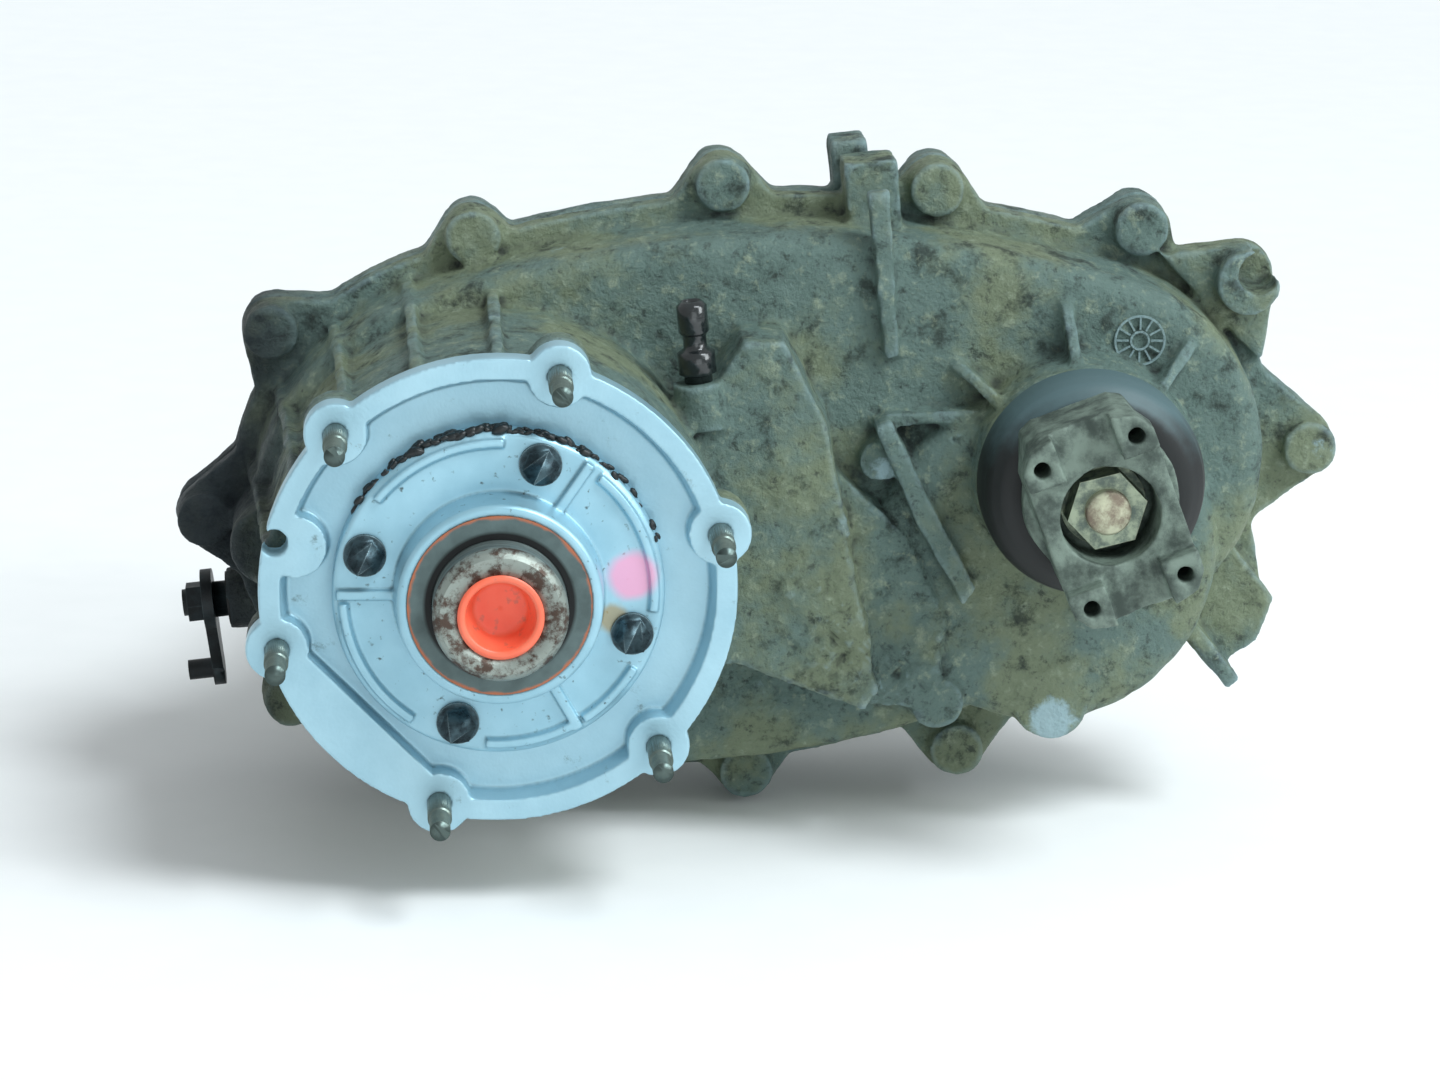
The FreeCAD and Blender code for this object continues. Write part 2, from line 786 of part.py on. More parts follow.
# The half-open ear at the top of the output end.
ear_u, ear_v, ear_angle = half_open_ear
disc(front_case, ear_u, ear_v, s.ear_radius + 1, s.mating_depth, s.ear_height + 12, False)
sketch = outline_sketch(front_case, s.mating_depth)
draw_ear_skirt(sketch, ear_u, ear_v, s.ear_radius + 1, ear_angle, s.ear_flare, s.ear_skirt)
pad(front_case, sketch, s.ear_height)
notch_u = ear_u + 6 * cosine(ear_angle)
notch_v = ear_v + 6 * sine(ear_angle)
hole(front_case, [(notch_u, notch_v)], s.ear_radius - 4, s.mating_depth - s.ear_height - 13, 22)

# The swelling round the shift rail, then the rooms inside.
rail_pocket = s.rail_radius + 6
rail_end = s.front_depth + 12
disc(front_case, rail_u, rail_v, rail_pocket + 5, s.mating_depth, rail_end + 6, False)
hollow_chain_room(front_case, s.front_depth, s.sump_depth, False)
hole(front_case, [(rail_u, rail_v)], rail_pocket, s.mating_depth, s.front_depth + 4, False)
hole(front_case, [(rail_u, rail_v)], s.rail_radius, s.mating_depth, rail_end, False)
turn(front_case, [
    (0, -1),
    (s.input_bearing_radius, -1),
    (s.input_bearing_radius, bearing_rear),
    (s.input_bearing_radius - 5, bearing_rear),
    (s.input_bearing_radius - 5, cavity_front),
    (s.annulus_radius - 8, cavity_front),
    (s.annulus_radius, cavity_front + 8),
    (s.annulus_radius, s.mating_depth + 1),
    (0, s.mating_depth + 1),
], "Groove")

# The front output nose with its gussets, bearing bore and seal bore.
turn(front_case, [
    (0, s.nose_front),
    (s.nose_radius - 3, s.nose_front),
    (s.nose_radius, s.nose_front + 3),
    (s.nose_radius + 4, inner_front_face),
    (0, inner_front_face),
], axis_u=s.centre_distance)
for gusset_angle in (42, 90, 135):
    web(
        front_case,
        [
            (s.nose_radius - 6, s.nose_front + 6),
            (s.nose_radius - 1, s.nose_front + 6),
            (s.nose_radius + 26, into_wall - 4),
            (s.nose_radius + 26, into_wall),
            (s.nose_radius - 6, into_wall),
        ],
        s.centre_distance, 0, gusset_angle, s.rib_thickness,
    )
turn(front_case, [
    (0, s.nose_front - 1),
    (s.output_seal_radius, s.nose_front - 1),
    (s.output_seal_radius, s.nose_front + s.nose_ledge),
    (s.output_seal_radius - 3, s.nose_front + s.nose_ledge),
    (s.output_seal_radius - 3, output_bearing_front),
    (s.output_bearing_radius, output_bearing_front),
    (s.output_bearing_radius, inner_front_face + 1),
    (0, inner_front_face + 1),
], "Groove", s.centre_distance)

# Threaded and plain holes: flange studs, locating hole, retainer bolts, joint bolts and dowels.
stud_hole = hole(front_case, [(stud_u, stud_v)], s.stud_root_radius, -1, s.stud_root + 2)
repeat_round(front_case, stud_hole, s.stud_count)
hole(front_case, [(pilot_u, pilot_v)], s.pilot_hole_radius, -1, s.rim_thickness + 1)
retainer_u, retainer_v = polar(s.retainer_bolt_circle / 2, s.retainer_bolt_angle)
retainer_hole = hole(front_case, [(retainer_u, retainer_v)], s.retainer_bolt_radius, dish_floor - 1, 17)
repeat_round(front_case, retainer_hole, 4)
bolt_places = [(u, v) for u, v, angle in joint_ears]
hole(front_case, bolt_places, s.case_bolt_radius, s.mating_depth + 1, s.case_bolt_reach + 2, False)
hole(front_case, dowel_places, s.dowel_radius, s.mating_depth + 1, s.dowel_length / 2 + 1, False)

front_case = front_case.finish()


# ---------------------------------------------------------------- rear half

rear_sump = s.rear_depth + 10
rear_case = cast_half("rear_case", s.rear_depth, rear_sump, True)
block(rear_case, box_corners(163, 100, 179, 141), s.mating_depth, 26)
disc(rear_case, rail_u, rail_v, rail_pocket + 5, s.mating_depth, s.rear_depth + 6)
rear_rib = web(
    rear_case,
    [
        (s.rear_boss_radius - 8, rear_face - 2),
        (s.input_end_radius - 22, rear_face - 2),
        (s.input_end_radius - 26, rear_face + 2),
        (s.rear_boss_radius - 1, s.rear_boss_end - 12),
        (s.rear_boss_radius - 8, s.rear_boss_end - 12),
    ],
    0, 0, 20, s.rib_thickness,
)
repeat_round(rear_case, rear_rib, 7)
boss_left = -(s.input_end_radius + 8)
cross_turn(
    rear_case,
    [(boss_left, 0), (-92, 0), (-92, 14), (boss_left, 14)],
    s.selector_depth, -s.selector_drop,
)
sector_u = -s.sector_plane
stand_turn(rear_case, [(0, -88), (9, -88), (9, -66), (0, -66)], sector_u, s.selector_depth)
hollow_chain_room(rear_case, s.rear_depth, rear_sump, True)
hole(rear_case, [(rail_u, rail_v)], rail_pocket, s.mating_depth, s.rear_depth - s.case_wall)
hole(rear_case, [(rail_u, rail_v)], s.rail_radius, s.mating_depth, s.rear_depth + 2)

# The hub round the pump and the rear bearing, with the extension's bolt face.
hub_flange = s.extension_flange + 1
turn(rear_case, [
    (0, inner_rear_face),
    (s.rear_boss_radius + 8, inner_rear_face),
    (s.rear_boss_radius + 8, rear_face),
    (s.rear_boss_radius, rear_face + 5),
    (s.rear_boss_radius, s.rear_boss_end - 14),
    (hub_flange, s.rear_boss_end - 9),
    (hub_flange, s.rear_boss_end),
    (0, s.rear_boss_end),
])
pump_radius = s.rear_bearing_radius + 5
pump_rear = rear_bearing_front - 3
turn(rear_case, [
    (0, inner_rear_face - 1),
    (pump_radius, inner_rear_face - 1),
    (pump_radius, pump_rear),
    (s.rear_bearing_radius - 8, pump_rear),
    (s.rear_bearing_radius - 8, rear_bearing_front),
    (s.rear_bearing_radius, rear_bearing_front),
    (s.rear_bearing_radius, s.rear_boss_end + 1),
    (0, s.rear_boss_end + 1),
], "Groove")

# The blind hub at the rear of the front output shaft, and the plug bosses.
tail_journal = s.output_shaft_radius - 4
tail_needle = tail_journal + 3
tail_end = rear_face + 8
disc(rear_case, s.centre_distance, 0, tail_needle + 8, inner_rear_face, 22)
hole(rear_case, [(s.centre_distance, 0)], tail_needle, inner_rear_face - 1, tail_end - inner_rear_face + 1)
plug_radius = size(9)
plug_places = [(178, -20), (196, -92)]
plug_seat = s.mating_depth + rear_sump + 3
for u, v in plug_places:
    disc(rear_case, u, v, plug_radius + 6, inner_rear_face, plug_seat - inner_rear_face)
hole(rear_case, plug_places, plug_radius, inner_rear_face - 1, plug_seat - inner_rear_face + 2)

cross_turn(
    rear_case,
    [
        (boss_left - 1, 0),
        (sector_u, 0),
        (sector_u, s.selector_radius + s.fit_gap),
        (boss_left + 8, s.selector_radius + s.fit_gap),
        (boss_left + 8, s.selector_radius + 4),
        (boss_left - 1, s.selector_radius + 4),
    ],
    s.selector_depth, -s.selector_drop, "Groove",
)
detent_radius = size(5)
stand_turn(
    rear_case,
    [(0, -90), (detent_radius, -90), (detent_radius, -54), (0, -54)],
    sector_u, s.selector_depth, "Groove",
)
hole(rear_case, bolt_places, s.case_bolt_radius, s.mating_depth - 1, s.ear_height + 2)
hole(rear_case, dowel_places, s.dowel_radius, s.mating_depth - 1, s.dowel_length / 2 + 1)
extension_bolt_circle = (s.extension_flange + 50) / 2
extension_u, extension_v = polar(extension_bolt_circle, 0)
extension_hole = hole(
    rear_case, [(extension_u, extension_v)], s.case_bolt_radius, s.rear_boss_end + 1, 15, False
)
repeat_round(rear_case, extension_hole, 6)
rear_case = rear_case.finish()


# ---------------------------------------------------------------- fasteners, seals and bearings

def hexagon(u, v, across_corners):
    return [
        (u + across_corners / 2 * cosine(60 * k), v + across_corners / 2 * sine(60 * k))
        for k in range(6)
    ]


def bolts(label, places, seat_face, shank, reach, rearwards, flange=2):
    """Flanged hexagon bolts of one size. Their heads stand out from the seat face."""
    body = new_body(label)
    head_way = rearwards
    hole_sketch = outline_sketch(body, seat_face)
    for u, v in places:
        draw_circle(hole_sketch, u, v, shank)
    pad(body, hole_sketch, reach, not head_way)
    sketch = outline_sketch(body, seat_face)
    for u, v in places:
        draw_circle(sketch, u, v, shank * 2.2)
    pad(body, sketch, flange, head_way)
    sketch = outline_sketch(body, seat_face)
    for u, v in places:
        draw_polygon(sketch, hexagon(u, v, shank * 3.8))
    pad(body, sketch, shank * 1.9, head_way)
    return body


def round_places(circle, start, count):
    return [polar(circle / 2, start + 360 / count * k) for k in range(count)]


def bearing(name, bore, outside, front, width, u=0):
    """A shielded ball bearing: the outer race with its shields, and the inner race."""
    depth = (outside - bore) * 0.3
    shield = bore + depth + s.running_gap
    rear = front + width
    turned(name + "_outer_race", [
        (outside, front),
        (outside, rear),
        (shield, rear),
        (shield, rear - 1.5),
        (outside - depth, rear - 1.5),
        (outside - depth, front + 1.5),
        (shield, front + 1.5),
        (shield, front),
    ], u=u)
    ring(name + "_inner_race", bore, bore + depth, front, rear, u=u)


def seal(label, outside, shaft, front, width, u=0):
    """A lip seal: a steel case with its rubber lip turned in to the shaft."""
    lip = shaft + s.running_gap
    rear = front + width
    turned(label, [
        (outside, front),
        (outside, rear),
        (outside - 2, rear),
        (outside - 2, front + 3),
        (lip + 3, front + 3),
        (lip + 2, rear - 2),
        (lip, rear - 3),
        (lip + 1, front + 1),
        (lip, front),
    ], u=u)


retainer_bolt_places = round_places(s.retainer_bolt_circle, s.retainer_bolt_angle, 4)
bolts("retainer_bolts", retainer_bolt_places, retainer_front, s.retainer_bolt_radius,
      s.retainer_plate + 14, False)
bolts("case_bolts", bolt_places, s.mating_depth + s.ear_height, s.case_bolt_radius,
      s.ear_height + s.case_bolt_reach, True)
extension_bolt_places = round_places(extension_bolt_circle * 2, 0, 6)
extension_face = s.rear_boss_end + s.flange_thickness
bolts("extension_bolts", extension_bolt_places, extension_face, s.case_bolt_radius,
      s.flange_thickness + 12, True)

studs = new_body("input_studs")
for reach, radius, length in (
    (s.stud_reach, s.stud_radius, s.stud_reach),
    (s.stud_reach + s.stud_tip, s.stud_tip_radius, s.stud_tip),
    (0, s.stud_root_radius, s.stud_root),
):
    stud = disc(studs, stud_u, stud_v, radius, -reach, length)
    repeat_round(studs, stud, s.stud_count)

dowels = new_body("case_dowels")
sketch = outline_sketch(dowels, s.mating_depth - s.dowel_length / 2)
for u, v in dowel_places:
    draw_circle(sketch, u, v, s.dowel_radius)
    draw_circle(sketch, u, v, s.dowel_radius - 2)
pad(dowels, sketch, s.dowel_length, True)

plugs = new_body("fill_and_drain_plugs")
for radius, depth, length in ((plug_radius, plug_seat - 12, 12), (plug_radius + 3, plug_seat, 3)):
    sketch = outline_sketch(plugs, depth)
    for u, v in plug_places:
        draw_circle(sketch, u, v, radius)
    pad(plugs, sketch, length, True)
sketch = outline_sketch(plugs, plug_seat)
for u, v in plug_places:
    draw_polygon(sketch, hexagon(u, v, 17))
pad(plugs, sketch, 10, True)

breather = new_body("breather")
stand_turn(breather, [(0, 60), (6, 60), (6, 63), (8, 64), (8, 73), (5, 75), (5, 80), (6.5, 82),
                      (6.5, 93), (4.5, 95), (4, 95), (4, 84), (0, 84)], 93, 79)

bearing("input_bearing", s.input_journal, s.input_bearing_radius, dish_floor, s.input_bearing_width)
bearing("output_bearing", s.output_shaft_radius, s.output_bearing_radius, output_bearing_front,
        s.output_bearing_width, s.centre_distance)
bearing("rear_bearing", s.rear_journal, s.rear_bearing_radius, rear_bearing_front,
        s.rear_bearing_width)
seal("input_seal", s.input_seal_radius, s.input_journal, collar_front, s.input_seal_width)
seal("output_seal", s.output_seal_radius, s.yoke_barrel, s.nose_front, s.output_seal_width,
     s.centre_distance)
tail_seal_radius = s.slip_bore + 8
tail_seal_width = size(9)
seal("rear_seal", tail_seal_radius, s.slip_bore + 0.5, s.extension_end - tail_seal_width,
     tail_seal_width)
ring("shaft_end_needles", tail_journal + s.fit_gap, tail_needle, inner_rear_face, tail_end,
     u=s.centre_distance)


# ---------------------------------------------------------------- front bearing retainer

retainer = turned("input_retainer", [
    (s.input_seal_radius, collar_front),
    (s.retainer_collar - 1.5, collar_front),
    (s.retainer_collar, collar_front + 1.5),
    (s.retainer_collar + 1, retainer_front),
    (s.retainer_radius - 1.5, retainer_front),
    (s.retainer_radius, retainer_front + 1.5),
    (s.retainer_radius, dish_floor),
    (s.input_bearing_radius - 5, dish_floor),
    (s.input_journal + 4, dish_floor - 5),
    (s.input_journal + 4, collar_front + s.input_seal_width + 1),
    (s.input_seal_radius, collar_front + s.input_seal_width + 1),
])
hole(retainer, retainer_bolt_places, s.retainer_bolt_radius, retainer_front - 1,
     s.retainer_plate + 2)
rib_top = retainer_front - 2.5
for rib_place in (173.6, 49.6, -66.4):
    web(retainer, [
        (s.retainer_collar - 1, rib_top),
        (s.retainer_radius - 2, rib_top),
        (s.retainer_radius - 2, retainer_front + 1),
        (s.retainer_collar - 1, retainer_front + 1),
    ], 0, 0, rib_place, 4)
for start, span in ((82, 53), (-13, 57), (177, 53), (-101, 32), (-63, 27)):
    sketch = radial_sketch(retainer, 0, 0, start)
    draw_polygon(sketch, [
        (s.retainer_radius - 7, retainer_front + 1),
        (s.retainer_radius - 6, rib_top),
        (s.retainer_radius - 3, rib_top),
        (s.retainer_radius - 2, retainer_front + 1),
    ])
    arc_rib = new_feature(retainer, "Revolution")
    arc_rib.Profile = sketch
    arc_rib.ReferenceAxis = (sketch, ["V_Axis"])
    arc_rib.Angle = span
    arc_rib.Reversed = True


# ---------------------------------------------------------------- gear teeth and dog teeth

pressure_angle = size(25)
degrees_per_radian = 57.2957795


def involute(angle):
    return tangent(angle) * degrees_per_radian - angle


def tooth_half_angle(pitch, teeth, radius, inside=False):
    """Half the angle that an involute tooth covers at a radius, less its share of the backlash."""
    base = pitch * cosine(pressure_angle)
    lean = involute(arc_cosine(base / radius)) - involute(pressure_angle)
    middle = 90 / teeth - s.backlash / 4 / pitch * degrees_per_radian
    return middle + lean if inside else middle - lean


def gear_tooth(pitch, teeth, middle_angle=0, inside=False):
    """Corners of one tooth, from inside its own rim to its tip, about the line of u."""
    way = -1 if inside else 1
    root_radius = pitch - way * 1.05 * s.gear_module
    tip = pitch + way * 0.8 * s.gear_module
    base = pitch * cosine(pressure_angle)
    start = base + 0.02 if not inside and root_radius.value < base.value else root_radius
    radii = [start, (start + pitch) / 2, pitch, (pitch + tip) / 2, tip]
    half_angles = [tooth_half_angle(pitch, teeth, radius, inside) for radius in radii]
    radii = [root_radius - way * 1.5] + radii
    half_angles = [half_angles[0]] + half_angles
    one_side = [polar(r, middle_angle - a) for r, a in zip(radii, half_angles)]
    other_side = [polar(r, middle_angle + a) for r, a in zip(radii, half_angles)]
    return one_side + other_side[::-1]


def gear_ring(label, pitch, teeth, bore, front, rear, u=0, v=0, turn_to=0, phase=0):
    """A plain gear wheel with its teeth on the outside."""
    body = ring(label, bore, pitch - 1.05 * s.gear_module, front, rear, u=u, v=v, spin=turn_to)
    tooth = block(body, gear_tooth(pitch, teeth, phase), front, rear - front)
    repeat_round(body, tooth, whole(teeth))
    return body


def outside_dogs(body, root_radius, front, length):
    """Dog teeth round the outside of a hub."""
    corners = [
        polar(root_radius - 4, -4.2), polar(root_radius - 0.3, -3.3),
        polar(root_radius - 0.3, 3.3), polar(root_radius - 4, 4.2),
    ]
    tooth = block(body, corners, front, length)
    return repeat_round(body, tooth, whole(s.clutch_teeth))


def inside_dogs(body, root_radius, front, length):
    """Dog teeth round the inside of a ring, half a tooth on from those of its hub."""
    middle = 180 / s.clutch_teeth
    corners = [
        polar(root_radius + 1, middle - 3.2), polar(root_radius - 3, middle - 2.6),
        polar(root_radius - 3, middle + 2.6), polar(root_radius + 1, middle + 3.2),
    ]
    tooth = block(body, corners, front, length)
    return repeat_round(body, tooth, whole(s.clutch_teeth))


# ---------------------------------------------------------------- planetary range gear

hub_high_front = planet_rear - s.dog_width - 1.5
pilot_radius = s.spline_radius - 6
sun_root = sun_radius - 1.05 * s.gear_module
input_shaft = turned("input_shaft", [
    (s.input_bore, -s.input_reach),
    (s.input_journal - 3, -s.input_reach),
    (s.input_journal, 3 - s.input_reach),
    (s.input_journal, bearing_rear),
    (s.input_journal + 5, bearing_rear),
    (s.input_journal + 5, s.planet_front),
    (sun_root, s.planet_front),
    (sun_root, planet_rear),
    (s.range_clutch_radius, planet_rear),
    (s.range_clutch_radius, planet_rear - s.dog_width - 8),
    (pilot_radius + s.fit_gap, planet_rear - s.dog_width - 8),
    (pilot_radius + s.fit_gap, bearing_rear),
    (s.input_bore, bearing_rear),
])
sun_tooth = block(input_shaft, gear_tooth(sun_radius, s.sun_teeth), s.planet_front, s.planet_face)
repeat_round(input_shaft, sun_tooth, whole(s.sun_teeth))
inside_dogs(input_shaft, s.range_clutch_radius, planet_rear - s.dog_width - 2, s.dog_width + 2)

plug_lip = s.input_bore - 1.5
turned("input_bore_plug", [
    (0, -s.input_reach + 14),
    (plug_lip - 5, -s.input_reach + 13),
    (plug_lip - 2.5, -s.input_reach + 6),
    (plug_lip - 1.5, -s.input_reach - 0.5),
    (s.input_bore, -s.input_reach - 0.5),
    (s.input_bore, -s.input_reach + 2),
    (plug_lip + 0.8, -s.input_reach + 18),
    (0, -s.input_reach + 18),
])

annulus_pitch = s.gear_module * annulus_teeth / 2
annulus_root = annulus_pitch + 1.05 * s.gear_module
annulus = ring("annulus_gear", annulus_root, s.annulus_radius, s.planet_front - 1, planet_rear + 1)
inner_tooth = block(annulus, gear_tooth(annulus_pitch, annulus_teeth, 0, True),
                    s.planet_front - 1, s.planet_face + 2)
repeat_round(annulus, inner_tooth, whole(annulus_teeth))

carrier_radius = annulus_pitch - 5
carrier_rear = planet_rear + 1 + s.carrier_plate
carrier = ring("planet_carrier", s.input_journal + 6, carrier_radius, carrier_front,
               carrier_front + s.carrier_plate)
turn(carrier, [
    (s.range_clutch_radius + 2, planet_rear + 1),
    (carrier_radius, planet_rear + 1),
    (carrier_radius, carrier_rear),
    (s.range_clutch_radius + 6, carrier_rear),
    (s.range_clutch_radius + 6, carrier_rear + s.dog_width + 4),
    (s.range_clutch_radius, carrier_rear + s.dog_width + 4),
    (s.range_clutch_radius, carrier_rear),
    (s.range_clutch_radius + 2, carrier_rear - 2),
])
post_u, post_v = polar(orbit_radius, 180 / s.planet_count)
post = disc(carrier, post_u, post_v, planet_radius - 6, carrier_front + 2, planet_rear + 3 - carrier_front)
repeat_round(carrier, post, s.planet_count)
inside_dogs(carrier, s.range_clutch_radius, carrier_rear + 2, s.dog_width + 2)
pin_hole = hole(carrier, [(orbit_radius, size(0))], s.planet_pin_radius, carrier_front - 1,
                carrier_rear - carrier_front + 2)
repeat_round(carrier, pin_hole, s.planet_count)

pins = new_body("planet_pins")
pin = disc(pins, orbit_radius, 0, s.planet_pin_radius, carrier_front, carrier_rear - carrier_front)
repeat_round(pins, pin, s.planet_count)

for number in range(whole(s.planet_count)):
    around = 360 / s.planet_count * number
    place_u, place_v = polar(orbit_radius, around)
    gear_ring(f"planet_gear_{number + 1}", planet_radius, s.planet_teeth,
              s.planet_pin_radius + s.fit_gap, s.planet_front, planet_rear,
              place_u, place_v, around, 180 / s.planet_teeth)


# ---------------------------------------------------------------- mainshaft, hubs and sleeves

mode_hub_front = s.mode_sleeve_front - 8
mode_hub_rear = s.mode_sleeve_front + 8
sprocket_hub_front = s.sprocket_front - 3
sprocket_hub_rear = sprocket_rear + 3
collar_rear = inner_rear_face - 4.3
turned("mainshaft", [
    (0, bearing_rear + 4),
    (pilot_radius, bearing_rear + 4),
    (pilot_radius, planet_rear - s.dog_width - 7),
    (s.spline_radius, planet_rear - s.dog_width - 7),
    (s.spline_radius, mode_hub_rear + 1),
    (s.sprocket_journal, mode_hub_rear + 1),
    (s.sprocket_journal, sprocket_hub_rear + s.running_gap),
    (s.sprocket_journal + 4, sprocket_hub_rear + s.running_gap),
    (s.sprocket_journal + 4, collar_rear),
    (s.rear_journal, collar_rear),
    (s.rear_journal, s.rear_boss_end + 19),
    (s.tail_radius, s.rear_boss_end + 22),
    (s.tail_radius, s.mainshaft_end),
    (0, s.mainshaft_end),
])

fork_gap = s.fork_thickness + 2 * s.running_gap
groove_front = carrier_rear + s.dog_width + 10
range_hub = turned("range_hub", [
    (s.spline_radius + s.fit_gap, hub_high_front),
    (s.range_clutch_radius - 3.6, hub_high_front),
    (s.range_clutch_radius - 3.6, hub_high_front + s.dog_width),
    (s.range_clutch_radius - 7, hub_high_front + s.dog_width),
    (s.range_clutch_radius - 7, groove_front - 3),
    (s.range_clutch_radius + 6, groove_front - 3),
    (s.range_clutch_radius + 6, groove_front),
    (s.range_clutch_radius - 5, groove_front),
    (s.range_clutch_radius - 5, groove_front + fork_gap),
    (s.range_clutch_radius + 6, groove_front + fork_gap),
    (s.range_clutch_radius + 6, groove_front + fork_gap + 3),
    (s.spline_radius + s.fit_gap, groove_front + fork_gap + 3),
])
outside_dogs(range_hub, s.range_clutch_radius, hub_high_front, s.dog_width)

mode_hub = ring("mode_hub", s.spline_radius, s.mode_clutch_radius - 3.6, mode_hub_front, mode_hub_rear)
outside_dogs(mode_hub, s.mode_clutch_radius, mode_hub_front, mode_hub_rear - mode_hub_front)

sleeve_outside = s.mode_clutch_radius + 4
mode_groove_front = s.mode_sleeve_front + 3.5
mode_sleeve = turned("mode_sleeve", [
    (s.mode_clutch_radius, s.mode_sleeve_front),
    (sleeve_outside + 6, s.mode_sleeve_front),
    (sleeve_outside + 6, mode_groove_front),
    (sleeve_outside, mode_groove_front),
    (sleeve_outside, mode_groove_front + fork_gap),
    (sleeve_outside + 6, mode_groove_front + fork_gap),
    (sleeve_outside + 6, mode_groove_front + fork_gap + 3.5),
    (sleeve_outside, mode_groove_front + fork_gap + 3.5),
    (sleeve_outside, s.mode_sleeve_front + s.mode_sleeve_length),
    (s.mode_clutch_radius, s.mode_sleeve_front + s.mode_sleeve_length),
])
inside_dogs(mode_sleeve, s.mode_clutch_radius, s.mode_sleeve_front, s.mode_sleeve_length)


# ---------------------------------------------------------------- chain drive

link_step = 360 / s.sprocket_teeth
chain_pitch = s.centre_distance / 20
link_height = chain_pitch / (2 * tangent(180 / s.sprocket_teeth))
tooth_foot = link_height - s.chain_half_height - 1


def sprocket(label, bore, u=0):
    """A silent-chain sprocket: narrow teeth that stand in the notches of the links.

    A tooth is given by the angle that it covers at each radius, in degrees.
    """
    body = turned(label, [
        (bore, sprocket_hub_front),
        (bore + 12, sprocket_hub_front),
        (bore + 12, s.sprocket_front + 7),
        (tooth_foot - 8, s.sprocket_front + 7),
        (tooth_foot - 8, s.sprocket_front),
        (tooth_foot, s.sprocket_front),
        (tooth_foot, sprocket_rear),
        (tooth_foot - 8, sprocket_rear),
        (tooth_foot - 8, sprocket_rear - 7),
        (bore + 12, sprocket_rear - 7),
        (bore + 12, sprocket_hub_rear),
        (bore, sprocket_hub_rear),
    ], u=u)
    one_side = [(tooth_foot - 1, 6), (tooth_foot, 6), (link_height - 1.8, 2.4)]
    both_sides = [polar(r, (link_step - a) / 2) for r, a in one_side]
    both_sides += [polar(r, (link_step + a) / 2) for r, a in one_side[::-1]]
    tooth = block(body, both_sides, s.sprocket_front, s.sprocket_width)
    repeat_round(body, tooth, whole(s.sprocket_teeth))
    return body


drive_sprocket = sprocket("drive_sprocket", s.sprocket_journal + s.fit_gap)
dog_front = mode_hub_rear + 2
turn(drive_sprocket, [
    (s.sprocket_journal + s.fit_gap, dog_front),
    (s.mode_clutch_radius - 3.6, dog_front),
    (s.mode_clutch_radius - 3.6, sprocket_hub_front + 1),
    (s.sprocket_journal + s.fit_gap, sprocket_hub_front + 1),
])
outside_dogs(drive_sprocket, s.mode_clutch_radius, dog_front, sprocket_hub_front - dog_front)
sprocket("driven_sprocket", s.output_shaft_radius + 1, s.centre_distance)

half_link = (chain_pitch.value - 0.3) / 2
half_height = s.chain_half_height.value
link_outline = [
    (-half_link, half_height - 1), (1 - half_link, half_height), (half_link - 1, half_height),
    (half_link, half_height - 1), (half_link, 1.5 - half_height), (3.6, 0.3 - half_height),
    (1.9, -0.8), (-1.9, -0.8), (-3.6, 0.3 - half_height), (-half_link, 1.5 - half_height),
]


def chain_link(centre_u, centre_v, angle):
    """One link as a solid, its back turned outwards at an angle from v."""
    spots = [Vector(x, s.sprocket_front.value, y) for x, y in link_outline]
    face = Part.Face(Part.makePolygon(spots + spots[:1]))
    link = face.extrude(Vector(0, s.sprocket_width.value, 0))
    link.rotate(Vector(0, 0, 0), Vector(0, 1, 0), -angle)
    link.translate(Vector(centre_u, 0, centre_v))
    return link


links = []
span_links = round((s.centre_distance / chain_pitch).value) - 1
wrap_links = whole(s.sprocket_teeth) // 2 + 1
step = link_step.value
for k in range(span_links):
    along = (k + 1) * chain_pitch.value
    links.append(chain_link(along, link_height.value, 0))
    links.append(chain_link(along, -link_height.value, 180))
for k in range(wrap_links):
    left = math.radians(90 + step * k)
    reach = link_height.value
    links.append(chain_link(reach * math.cos(left), reach * math.sin(left), step * k))
    right = math.radians(90 - step * k)
    links.append(chain_link(
        s.centre_distance.value + reach * math.cos(right), reach * math.sin(right), -step * k
    ))
chain = doc.addObject("Part::Feature", "drive_chain")
chain.Label = "drive_chain"
chain.Shape = Part.makeCompound(links)
seat(chain)


# ---------------------------------------------------------------- front output

turned("front_output_shaft", [
    (0, s.yoke_nut_front - 4),
    (s.output_thread_radius - 1, s.yoke_nut_front - 4),
    (s.output_thread_radius, s.yoke_nut_front - 3),
    (s.output_thread_radius, s.yoke_floor + 6),
    (s.output_shaft_radius, s.yoke_floor + 6),
    (s.output_shaft_radius, output_bearing_rear),
    (s.output_shaft_radius + 4, output_bearing_rear),
    (s.output_shaft_radius + 4, sprocket_hub_front),
    (s.output_shaft_radius + 1, sprocket_hub_front),
    (s.output_shaft_radius + 1, sprocket_hub_rear + 1),
    (tail_journal, sprocket_hub_rear + 2),
    (tail_journal, tail_end - 2),
    (0, tail_end - 2),
], u=s.centre_distance)

